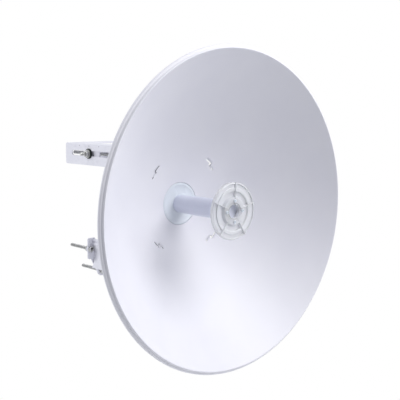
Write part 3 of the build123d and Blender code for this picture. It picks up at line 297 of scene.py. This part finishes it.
# %% Softened copies of CAD nodes
def softened(node, width=0.4, finish=None, segments=2):
    """A copy of a CAD node with its flat faces cleaned and a fine bevel on its sharp edges."""
    bm = bmesh.new()
    bm.from_mesh(frame["nodes"][node].data)
    bmesh.ops.remove_doubles(bm, verts=bm.verts, dist=0.002 * MM)
    bmesh.ops.dissolve_limit(bm, angle_limit=radians(0.6), verts=bm.verts, edges=bm.edges)
    piece = finished(bm, node + "_finished", node, finish)
    bevel = piece.modifiers.new("edge", "BEVEL")
    bevel.width = width * MM
    bevel.segments = segments
    bevel.limit_method = "ANGLE"
    bevel.angle_limit = radians(40)
    bevel.harden_normals = True
    return piece


# %% [markdown]
# ## The reflector
# The dish is a paraboloid, so its outline is one formula, x = r² / 4f. Its edge is rolled over a wire for
# stiffness: a bead, a groove beside it and a thin ridge where the roll starts. The outline is spun in one-degree
# steps, and rings of the mesh are placed on the edges of the four Z-shaped slits, so that a slit is cut simply by
# deleting its faces. A Solidify modifier then gives the sheet its thickness, and the slits get their walls.

# %% Dish outline
vertex_x = 177.5
focal_length = 141.4
rim_radius = 323.0
rim_depth = 11.0
seat_radius = 45.4
seat_hole_radius = 36.0
seat_x = vertex_x + 0.5
edge_radius = rim_radius - rim_depth
slit_rings = (103.5, 105.5, 108.5, 110.5)


def bowl_x(radius):
    """Inner face of the dish at a radius."""
    return vertex_x + radius**2 / (4 * focal_length)


ring_radii = sorted({*slit_rings, *[seat_radius + (edge_radius - 8 - seat_radius) * k / 44 for k in range(45)]})
ring_radii = [r for r in ring_radii if r in slit_rings or min(abs(r - s) for s in slit_rings) > 0.8]
dish_outline = [(seat_x, seat_hole_radius), (seat_x, seat_radius - 0.8), (seat_x + 0.5, seat_radius - 0.1)]
dish_outline += [(bowl_x(radius), radius) for radius in ring_radii]
rim_x = bowl_x(edge_radius)
# crest of the rim, the slope outside it, a narrow flat, and the roll behind, as steps from the edge (x, r)
dish_outline += [(rim_x + x, edge_radius + r) for x, r in (
    (-3.4, -3.4), (0.9, 0.9), (1.9, 1.7), (2.6, 2.5), (2.9, 3.3), (2.6, 4.1), (1.7, 4.8), (0.2, 5.4), (-0.9, 5.9),
    (-1.3, 6.5), (-1.4, 8.4), (-1.8, 9.2), (-2.8, 10.1), (-4.2, 10.8), (-5.6, 10.9), (-6.8, 10.3), (-7.4, 9.2),
    (-7.2, 8.0), (-6.4, 7.2))]
print("outline points", len(dish_outline), "rim at", round(rim_x, 1))

# %% Spin the dish and cut its slits
dish = spun(dish_outline, turns=360, closed=False)
slit_angles = (49, 138, 228, 314)
slit_hands = (1, -1, -1, 1)
slit_leg_degrees = 8
doomed = set()
for face in dish.faces:
    centre = face.calc_center_median()
    y, z = centre.y / MM, (centre.z - axis_z) / MM
    radius = sqrt(y * y + z * z)
    if not slit_rings[0] < radius < slit_rings[-1]:
        continue
    for angle, hand in zip(slit_angles, slit_hands):
        direction = Vector((cos(radians(angle)), sin(radians(angle))))
        along = (direction.x * z - direction.y * y) / radius
        if direction.x * y + direction.y * z < 0:
            continue
        turn = asin(max(-1.0, min(1.0, along))) * 180 / pi * hand
        in_jog = abs(turn) < 0.6
        in_inner = radius < slit_rings[1] and -slit_leg_degrees < turn < 0.6
        in_outer = radius > slit_rings[2] and -0.6 < turn < slit_leg_degrees
        if in_jog or in_inner or in_outer:
            doomed.add(face)
bmesh.ops.delete(dish, geom=list(doomed), context="FACES")
reflector = finished(dish, "reflector_skin", "reflector", smooth=50)
wall = reflector.modifiers.new("sheet", "SOLIDIFY")
wall.thickness = 1.5 * MM
wall.offset = -1.0
wall.use_even_offset = True
# The sheet's rim faces at the slits, the outer edge and the middle hole take a dark grey. This is painted shade: it
# draws the slits as dark shadow lines.
reflector.data.materials.append(grained("painted_shade_cut_edge", (0.16, 0.16, 0.18), (0.12, 0.12, 0.14), 0.5, metallic=0.4))
wall.material_offset_rim = 1
print("slit faces removed", len(doomed))

# %% [markdown]
# ## The feed
# A thin translucent plate covers the hole in the middle of the dish. The feed tube stands on it in two parts:
# a base, and a slightly wider sleeve that slides over it and carries the clear disc on a flange.

# %% Vertex plate
plate_low, plate_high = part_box("vertex_plate")
plate_back, plate_front = plate_low.x / MM, plate_high.x / MM
plate_radius = (plate_high.y - plate_low.y) / 2 / MM
collar_radius = 18.7
vertex_plate = finished(spun(rounded([
    (plate_back, collar_radius + 0.1), (plate_front - 0.2, collar_radius + 0.1, 0.5),
    (plate_front - 0.2, collar_radius + 4.0), (plate_front - 0.6, collar_radius + 5.0),
    (plate_front - 0.6, plate_radius - 6.0), (plate_front, plate_radius - 5.0),
    (plate_front, plate_radius, 1.2), (plate_back, plate_radius)])), "vertex_cover", "vertex_plate")
print("vertex plate radius", round(plate_radius, 1))

# %% Feed base and sleeve
sleeve_low, sleeve_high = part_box("feed_sleeve")
base_low, base_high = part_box("feed_base")
sleeve_x, flange_x = sleeve_low.x / MM, sleeve_high.x / MM
base_x = base_low.x / MM
sleeve_radius = 19.7
tube_bore = 14.3
flange_radius = (sleeve_high.y - sleeve_low.y) / 2 / MM
feed_base = finished(spun(rounded([
    (base_x, tube_bore), (base_x, collar_radius, 0.6), (seat_x - 4.0, collar_radius),
    (seat_x - 4.0, seat_hole_radius - 0.5),
    (seat_x, seat_hole_radius - 0.5), (seat_x, collar_radius), (sleeve_x, collar_radius, 0.3),
    (sleeve_x, collar_radius - 1.5), (sleeve_x + 15, collar_radius - 1.5), (sleeve_x + 15, tube_bore)])),
    "feed_tube_base", "feed_base")
feed_sleeve = finished(spun(rounded([
    (sleeve_x, collar_radius - 1.3), (sleeve_x, sleeve_radius, 0.7), (flange_x - 12, sleeve_radius),
    (flange_x - 4, sleeve_radius + 1.6, 2.0), (flange_x - 3.6, flange_radius, 0.8), (flange_x, flange_radius, 0.5),
    (flange_x, 17.2), (flange_x - 1.2, 17.2), (flange_x - 1.2, 15.4), (flange_x, 15.4), (flange_x, 13.0),
    (flange_x - 0.8, 11.0), (flange_x - 0.8, 0.0), (flange_x - 3.0, 0.0), (flange_x - 3.0, tube_bore),
    (sleeve_x + 15.2, tube_bore), (sleeve_x + 15.2, collar_radius - 1.3)])), "feed_tube_sleeve", "feed_sleeve")
print("feed tube from", round(base_x), "to", round(flange_x))

# %% [markdown]
# ## The clear disc
# The subreflector is a round plate moulded with ring steps, five thin ribs and a raised middle. The rings are one
# spun outline. Each rib is a small box, stretched and turned to its place, and stays a closed shape of its own
# inside the same piece, as a moulding's ribs merge into its plate.

# %% Disc outline and ribs
disc_low, disc_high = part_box("subreflector_disc")
disc_back, disc_front = disc_low.x / MM, disc_high.x / MM
disc_radius = (disc_high.z - disc_low.z) / 2 / MM + 0.15
disc_deep = disc_front - disc_back
ring_low = disc_back + 0.62 * disc_deep
ring_high = disc_back + 0.80 * disc_deep
disc = spun(rounded([
    (disc_back, tube_bore), (disc_back, disc_radius - 4.0), (disc_back + 1.2, disc_radius - 3.0, 0.6),
    (disc_back + 1.2, disc_radius, 1.2), (ring_high, disc_radius, 1.6), (ring_high, 0.94 * disc_radius, 0.8),
    (ring_low, 0.92 * disc_radius, 0.8), (ring_low, 0.81 * disc_radius, 0.8), (ring_high, 0.80 * disc_radius, 0.8),
    (ring_high, 0.69 * disc_radius, 0.8), (ring_low - 1.5, 0.66 * disc_radius, 0.8),
    (ring_low - 1.5, 0.53 * disc_radius, 0.8), (disc_front - 0.6, 0.47 * disc_radius, 1.2),
    (disc_front - 0.6, 0.30 * disc_radius, 0.6), (disc_front - 1.4, 0.28 * disc_radius, 0.4),
    (disc_front - 1.4, tube_bore, 0.4)]), turns=160)
rib_count = 5
rib_first = 14.0
rib_inner = 0.30
rib_outer = 0.99
rib_wide = 1.7
rib_deep = disc_front - ring_low + 1.5
for rib in range(rib_count):
    before = set(disc.verts)
    made = bmesh.ops.create_cube(disc, size=1.0)["verts"]
    length = (rib_outer - rib_inner) * disc_radius
    bmesh.ops.scale(disc, verts=made, vec=Vector((rib_deep, length, rib_wide)) * MM)
    bmesh.ops.bevel(disc, geom=list({e for v in made for e in v.link_edges}), offset=0.5 * MM,
                    offset_type="OFFSET", segments=3, profile=0.5, affect="EDGES", material=-1)
    rib_verts = [v for v in disc.verts if v not in before]
    middle = (rib_outer + rib_inner) / 2 * disc_radius
    bmesh.ops.translate(disc, verts=rib_verts, vec=Vector((disc_front - rib_deep / 2, middle, 0)) * MM)
    bmesh.ops.rotate(disc, verts=rib_verts, cent=(0, 0, 0),
                     matrix=Matrix.Rotation(radians(rib_first + 360 / rib_count * rib), 3, "X"))
    bmesh.ops.translate(disc, verts=rib_verts, vec=(0, 0, axis_z))
subreflector = finished(disc, "subreflector_clear", "subreflector_disc", smooth=28)
print("disc", round(disc_radius, 1), "mm radius with", rib_count, "ribs")

# %% [markdown]
# ## Screws, bolts and nuts
# A hexagon nut is a six-sided prism turned down at its corners, so each corner ends in a small arc. Every fastener
# here is a stack of rings bridged one to the next. A ring is round, or it is pulled out to a hexagon, and then it
# drops towards its corners as the lathe's chamfer leaves it. Threads are a small tooth outline spun round the bolt
# while it moves along by one pitch a turn.

# %% Rings, threads and their places
ring_sides = 48


def stack(bm, rings, place, toward, bored=False):
    """Bridges rings of (radius, height, shape) and stands them at a place in millimetres, facing a direction."""
    before = set(bm.verts)
    loops = []
    for radius, height, shape in rings:
        circle = bmesh.ops.create_circle(bm, cap_ends=False, radius=radius * MM, segments=ring_sides)["verts"]
        for vert in circle:
            turn = vert.co.xy.angle_signed(Vector((1.0, 0.0)))
            reach = 1.0 / cos((turn + pi / 6) % (pi / 3) - pi / 6) if shape != "round" else 1.0
            vert.co.x *= reach
            vert.co.y *= reach
            drop = {"crown": -0.58, "base": 0.58}.get(shape, 0.0)
            vert.co.z = (height + drop * radius * (reach - 1.0)) * MM
        loops.append(list({edge for vert in circle for edge in vert.link_edges}))
    for lower, upper in zip(loops, loops[1:]):
        bmesh.ops.bridge_loops(bm, edges=lower + upper)
    if bored:
        bmesh.ops.bridge_loops(bm, edges=loops[-1] + loops[0])
    else:
        bmesh.ops.contextual_create(bm, geom=loops[0])
        bmesh.ops.contextual_create(bm, geom=loops[-1])
    stand(bm, [vert for vert in bm.verts if vert not in before], place, toward)


def stand(bm, verts, place, toward):
    """Turns verts so that their Z points along a direction, and moves them to a place in millimetres."""
    turn = Vector(toward).to_track_quat("Z", "Y").to_matrix()
    bmesh.ops.rotate(bm, verts=verts, cent=(0, 0, 0), matrix=turn)
    bmesh.ops.translate(bm, verts=verts, vec=Vector(place) * MM)


def thread(bm, radius, length, place, toward, pitch=1.25, depth=0.62, turn_steps=20):
    """A helical tooth around a bolt's core, from a place along a direction."""
    before = set(bm.verts)
    half = 0.47 * pitch
    core = radius - depth
    corners = [(core - 0.05, 0.0), (radius - 0.06, half - 0.08), (radius - 0.06, half + 0.08), (core - 0.05, 2 * half)]
    tooth = [bm.verts.new((r * MM, 0.0, z * MM)) for r, z in corners]
    sides = [bm.edges.new(pair) for pair in zip(tooth, tooth[1:] + tooth[:1])]
    bmesh.ops.spin(bm, geom=tooth + sides, cent=(0, 0, 0), axis=(0, 0, 1), dvec=(0, 0, pitch / turn_steps * MM),
                   angle=tau, steps=turn_steps)
    turn = [vert for vert in bm.verts if vert not in before]
    turn += list({edge for vert in turn for edge in vert.link_edges}) + list({f for v in turn for f in v.link_faces})
    for count in range(1, int((length - pitch) / pitch)):
        copied = bmesh.ops.duplicate(bm, geom=turn)["geom"]
        next_verts = [item for item in copied if isinstance(item, bmesh.types.BMVert)]
        bmesh.ops.translate(bm, verts=next_verts, vec=(0, 0, count * pitch * MM))
    stand(bm, [vert for vert in bm.verts if vert not in before], place, toward)


print("ring and thread makers ready")

# %% [markdown]
# Bolts of the clamps and pivots are M8: 13 mm across flats, with a 1.25 mm pitch. Their places are read from the
# CAD nodes' boxes, so the lesson follows the frame rather than a list of numbers of its own.

# %% Nuts and bolts along the pole clamps
bolt_radius = 4.0
core_radius = 3.4
bolt_flats = 13.0
head_height = 5.3
nut_height = 6.5


def bolt_rings(length, flats=bolt_flats, head=head_height, radius=core_radius, plain=0.0):
    """Hexagon head standing up from Z = 0 and a shank hanging down from it, with a chamfered tip."""
    shank = [(radius * 0.6, -length, "round"), (radius, -length + 1.2, "round")]
    if plain:
        shank += [(radius, -plain - 0.5, "round"), (bolt_radius - 0.02, -plain, "round")]
    neck = shank[-1][0]
    return shank + [(neck, 0.0, "round"), (flats / 2 * 0.94, 0.0, "round"), (flats / 2, 0.25, "hexagon"),
                    (flats / 2, head - 0.15, "crown"), (flats / 2 * 0.95, head, "round"),
                    (flats / 2 * 0.55, head, "round"), (flats / 2 * 0.50, head - 0.25, "round")]


def nut_rings(height=nut_height, flats=bolt_flats, bore=bolt_radius + 0.05, flange=0.0):
    """Hexagon nut standing on Z = 0, with a countersunk bore and an optional flange."""
    foot = [(bore, 0.3, "round"), (bore + 0.5, 0.0, "round")]
    if flange:
        foot += [(flange - 0.3, 0.0, "round"), (flange, 0.4, "round"), (flange - 0.2, 1.2, "round"),
                 (flats / 2 * 1.02, 2.4, "hexagon")]
    else:
        foot += [(flats / 2 * 0.94, 0.0, "round"), (flats / 2, 0.15, "base")]
    return foot + [(flats / 2, height - 0.15, "crown"), (flats / 2 * 0.95, height, "round"),
                   (bore + 0.6, height, "round"), (bore, height - 0.6, "round")]


shank_low, shank_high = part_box("lower_clamp_bolts")
rod_low, rod_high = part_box("upper_clamp_rods")
clamp_nut_low, clamp_nut_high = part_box("lower_clamp_nuts")
front_nut_low, front_nut_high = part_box("upper_front_nuts")
rear_nut_low, rear_nut_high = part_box("upper_rear_nuts")
upper_y = shank_high.y / MM - bolt_flats / 2
lower_clamp_places = [(side * y, z) for side in (-1, 1) for y, z in ((upper_y, 18.0), (37.0, -36.0))]
rod_y = rod_high.y / MM - bolt_radius
rod_z = (rod_low.z + rod_high.z) / 2 / MM
rod_places = [(-rod_y, rod_z), (rod_y, rod_z)]

bolts = bmesh.new()
for y, z in lower_clamp_places:
    head_x = shank_high.x / MM - head_height
    reach = head_x - shank_low.x / MM
    stack(bolts, bolt_rings(reach, plain=11.0), (head_x, y, z), (1, 0, 0))
    thread(bolts, bolt_radius, reach - 12.0, (head_x - 11.5, y, z), (-1, 0, 0))
finished(bolts, "lower_clamp_bolt_set", "lower_clamp_bolts")
nuts = bmesh.new()
for y, z in lower_clamp_places:
    stack(nuts, nut_rings(flange=8.5), (clamp_nut_high.x / MM, y, z), (-1, 0, 0), bored=True)
finished(nuts, "lower_clamp_nut_set", "lower_clamp_nuts")
rods = bmesh.new()
rod_length = (rod_high.x - rod_low.x) / MM
for y, z in rod_places:
    stack(rods, [(2.2, 0.0, "round"), (core_radius, 1.2, "round"), (core_radius, rod_length - 1.2, "round"),
                 (2.2, rod_length, "round")], (rod_low.x / MM, y, z), (1, 0, 0))
    thread(rods, bolt_radius, rod_length - 1.6, (rod_low.x / MM + 0.8, y, z), (1, 0, 0))
finished(rods, "upper_clamp_rod_set", "upper_clamp_rods")
front_nuts = bmesh.new()
rear_nuts = bmesh.new()
for y, z in rod_places:
    stack(front_nuts, nut_rings(), (front_nut_low.x / MM, y, z), (1, 0, 0), bored=True)
    stack(rear_nuts, nut_rings(flange=8.5), (rear_nut_high.x / MM, y, z), (-1, 0, 0), bored=True)
finished(front_nuts, "upper_front_nut_set", "upper_front_nuts")
finished(rear_nuts, "upper_rear_nut_set", "upper_rear_nuts")
print("clamp bolts at", lower_clamp_places, "rods at", rod_places)


# %% Nuts and bolts across the arm and the tilt pivots
def across(node):
    """Where a mirrored pair across Y stands: its X and Z, and its inner and outer Y, in millimetres."""
    low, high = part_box(node)
    return (low.x + high.x) / 2 / MM, (low.z + high.z) / 2 / MM, high.y / MM


stud_x, stud_z, stud_out = across("cross_bolts")
stud_in = 64.6
stud_plain = 7.2
pad_out = across("cross_bolt_pads")[2]
washer_out = across("cross_bolt_washers")[2]
cross_nut_out = across("cross_bolt_nuts")[2]
studs, pads, washers, cross_nuts = bmesh.new(), bmesh.new(), bmesh.new(), bmesh.new()
for hand in (-1, 1):
    out = (0, hand, 0)
    stack(studs, [(bolt_radius - 0.1, 0.0, "round"), (bolt_radius - 0.1, 6.5, "round"), (core_radius, 7.0, "round"),
                  (core_radius, stud_out - stud_in - 1.2, "round"), (2.3, stud_out - stud_in, "round")],
          (stud_x, hand * stud_in, stud_z), out)
    thread_y = stud_in + stud_plain
    thread(studs, bolt_radius, stud_out - thread_y - 0.8, (stud_x, hand * thread_y, stud_z), out)
    stack(pads, [(4.1, 0.0, "round"), (11.1, 0.0, "round"), (11.5, 0.5, "round"), (11.5, 2.5, "round"),
                 (11.0, 3.0, "round"), (4.1, 3.0, "round")], (stud_x, hand * (pad_out - 3.0), stud_z), out, bored=True)
    stack(washers, [(4.1, 0.0, "round"), (8.8, 0.0, "round"), (9.0, 0.3, "round"), (9.0, 1.3, "round"),
                    (8.7, 1.6, "round"), (4.1, 1.6, "round")], (stud_x, hand * (washer_out - 1.6), stud_z), out,
          bored=True)
    stack(cross_nuts, nut_rings(), (stud_x, hand * (cross_nut_out - nut_height), stud_z), out, bored=True)
finished(studs, "cross_stud_pair", "cross_bolts")
finished(pads, "dark_washer_pair", "cross_bolt_pads")
finished(washers, "flat_washer_pair", "cross_bolt_washers")
finished(cross_nuts, "cross_nut_pair", "cross_bolt_nuts")

for bolt_node, nut_node in (("tilt_pivot_bolts", "tilt_pivot_nuts"), ("arm_pivot_bolts", "arm_pivot_nuts")):
    pivot_x, pivot_z, head_out = across(bolt_node)
    nut_out = across(nut_node)[2]
    pivot_bolts, pivot_nuts = bmesh.new(), bmesh.new()
    for hand in (-1, 1):
        seat = head_out - head_height
        reach = seat - (nut_out - nut_height - 2.5)
        stack(pivot_bolts, bolt_rings(reach, plain=reach - 9.0), (pivot_x, hand * seat, pivot_z), (0, hand, 0))
        thread(pivot_bolts, bolt_radius, 9.0, (pivot_x, hand * (seat - reach + 9.4), pivot_z), (0, -hand, 0))
        stack(pivot_nuts, nut_rings(), (pivot_x, hand * nut_out, pivot_z), (0, -hand, 0), bored=True)
    finished(pivot_bolts, bolt_node + "_turned", bolt_node)
    finished(pivot_nuts, nut_node + "_turned", nut_node)
print("cross studs at", round(stud_x, 1), round(stud_z, 1))


# %% [markdown]
# Small screws hold the hub, the radio and the clear disc. Each has a domed head with a hexagon socket, made from
# the same rings: the last few go down into the head instead of up.

# %% Socket screws
def screw_rings(head_radius, head, radius, length):
    """Domed head with a hexagon socket on Z = 0, and a plain shank hanging down."""
    socket = head_radius * 0.48
    return [(radius * 0.7, -length, "round"), (radius, -length + 0.5, "round"), (radius, 0.0, "round"),
            (head_radius - 0.1, 0.0, "round"), (head_radius, 0.2 * head, "round"),
            (head_radius * 0.96, 0.6 * head, "round"), (head_radius * 0.84, 0.9 * head, "round"),
            (head_radius * 0.68, head, "round"), (socket * 1.08, head, "hexagon"),
            (socket, head - 0.12, "hexagon"), (socket, 0.45 * head, "hexagon"), (socket * 0.4, 0.3 * head, "round")]


def screw_set(node, head_radius, head, radius, places, toward):
    """Screws of one node: heads face +X or -X, and the node's box gives their ends."""
    low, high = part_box(node)
    length = (high.x - low.x) / MM - head
    seat = high.x / MM - head if toward > 0 else low.x / MM + head
    bm = bmesh.new()
    for y, z in places:
        stack(bm, screw_rings(head_radius, head, radius, length), (seat, y, z), (toward, 0, 0))
    return finished(bm, node + "_turned", node)


def around(radius, first, count=4):
    """Places on a circle about the dish's axis."""
    turns = [radians(first + 360 / count * k) for k in range(count)]
    return [(radius * cos(a), axis_z / MM + radius * sin(a)) for a in turns]


def cornered(y, z):
    """Four places about the dish's axis."""
    return [(sy * y, axis_z / MM + sz * z) for sy in (-1, 1) for sz in (-1, 1)]


screw_set("subreflector_screws", 3.5, 2.0, 1.5, around(21.0, 0), 1)
screw_set("hub_screws", 4.75, 3.2, 2.5, around(40.6, 45), -1)
screw_set("radio_screws", 2.9, 2.2, 1.5, cornered(45.0, 61.0), -1)
screw_set("frame_screws", 3.8, 2.4, 2.0, cornered(40.0, 52.0), 1)
screw_set("board_screws", 2.4, 1.8, 1.25, cornered(37.0, 48.0), 1)
ground_low, ground_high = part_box("ground_screw")
ground = bmesh.new()
ground_length = (ground_high.y - ground_low.y) / MM
stack(ground, screw_rings(4.6, 2.8, 2.5, ground_length - 2.8),
      ((ground_low.x + ground_high.x) / 2 / MM, ground_low.y / MM + 2.8, (ground_low.z + ground_high.z) / 2 / MM),
      (0, -1, 0))
finished(ground, "ground_screw_turned", "ground_screw")
print("screws made")

# %% [markdown]
# ## Folded and cast pieces
# The remaining pieces keep their CAD shape with softened edges. Folded steel gets a small radius, castings and
# mouldings a larger one.

# %% Softened edges
edge_widths = {"elevation_arm": 0.45, "tilt_frame": 0.45, "lower_bracket": 0.5, "lower_rear_jaw": 0.4,
               "upper_front_jaw": 0.5, "upper_rear_jaw": 0.4, "rear_hub": 0.5, "radio_front_shell": 0.5,
               "radio_rear_shell": 0.5, "port_cover": 0.3}
for row in frame["record"]["subparts"]:
    if not frame["nodes"][row["node"]].hide_render:
        softened(row["node"], edge_widths.get(row["node"], 0.15))

# %% [markdown]
# ## The tilt scale
# Notches along the top of the arm's sides stand one for each five degrees of tilt: the stud moves 19 mm in the slot
# for each of them. Each notch is a thin dark block barely proud of the side. Its dark grey is painted shade, standing
# for the shade inside a stamped notch. Small raised pads above and below the slot stiffen the sheet beside it.

# %% Notches and pads on the arm
arm_low, arm_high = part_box("elevation_arm")
arm_side = arm_high.y / MM
arm_top = arm_high.z / MM
notch_pitch = 19.2
notch_count = 7
notch_size = (3.4, 0.8, 1.6)
pad_size = (12.0, 1.0, 5.0)
pad_rise = 15.5
# Painted shade: a dark grey for the notch blocks, in place of the shade inside the notches.
shade = grained("painted_shade_notch", (0.42, 0.41, 0.46), (0.38, 0.37, 0.42), 0.6)
notches = bmesh.new()
raised = bmesh.new()


def small_block(bm, centre, size, edge):
    """A block in millimetres with softened edges."""
    before = set(bm.verts)
    made = bmesh.ops.create_cube(bm, size=1.0)["verts"]
    bmesh.ops.scale(bm, verts=made, vec=Vector(size) * MM)
    bmesh.ops.bevel(bm, geom=list({e for v in made for e in v.link_edges}), offset=edge * MM, offset_type="OFFSET",
                    segments=2, profile=0.5, affect="EDGES", material=-1)
    bmesh.ops.translate(bm, verts=[v for v in bm.verts if v not in before], vec=Vector(centre) * MM)


for hand in (-1, 1):
    for step in range(notch_count):
        notch_x = stud_x + notch_pitch * (step - notch_count // 2)
        small_block(notches, (notch_x, hand * (arm_side - 0.3), arm_top - 5.0), notch_size, 0.15)
        if step % 2:
            continue
        small_block(raised, (notch_x, hand * (arm_side - 0.1), stud_z + pad_rise), pad_size, 0.35)
        pad_x = notch_x + notch_pitch / 2
        small_block(raised, (pad_x, hand * (arm_side - 0.1), stud_z - pad_rise), pad_size, 0.35)


def extra(bm, name, body, material):
    """A piece that no CAD node stands for."""
    bmesh.ops.recalc_face_normals(bm, faces=bm.faces)
    mesh = bpy.data.meshes.new(name)
    bm.to_mesh(mesh)
    bm.free()
    mesh.shade_smooth()
    mesh.set_sharp_from_angle(angle=radians(35))
    piece = bpy.data.objects.new(name, mesh)
    bpy.context.scene.collection.objects.link(piece)
    mesh.materials.append(material)
    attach(piece, body)
    return piece


extra(notches, "tilt_notches", "elevation_arm", shade)
extra(raised, "arm_pads", "elevation_arm", finishes["powder_coat"])
print("scale of", notch_count, "notches")

# %% [markdown]
# ## The floor
# A pale floor below the antenna gathers its soft shadow, as a studio sweep does.

# %% Floor
floor_z = -0.75
floor_radius = 1.15
floor_mesh = bpy.data.meshes.new("floor")
floor_bm = bmesh.new()
bmesh.ops.create_circle(floor_bm, cap_ends=True, radius=floor_radius, segments=160)
bmesh.ops.translate(floor_bm, verts=floor_bm.verts, vec=(dish_middle.x, 0, floor_z))
floor_bm.to_mesh(floor_mesh)
floor_bm.free()
floor = bpy.data.objects.new("floor", floor_mesh)
bpy.context.scene.collection.objects.link(floor)
floor_mesh.materials.append(grained("studio_floor", (0.96, 0.96, 0.96), (0.94, 0.94, 0.94), 0.8, bump=0.0, patch=0.5))
print("floor at", floor_z)
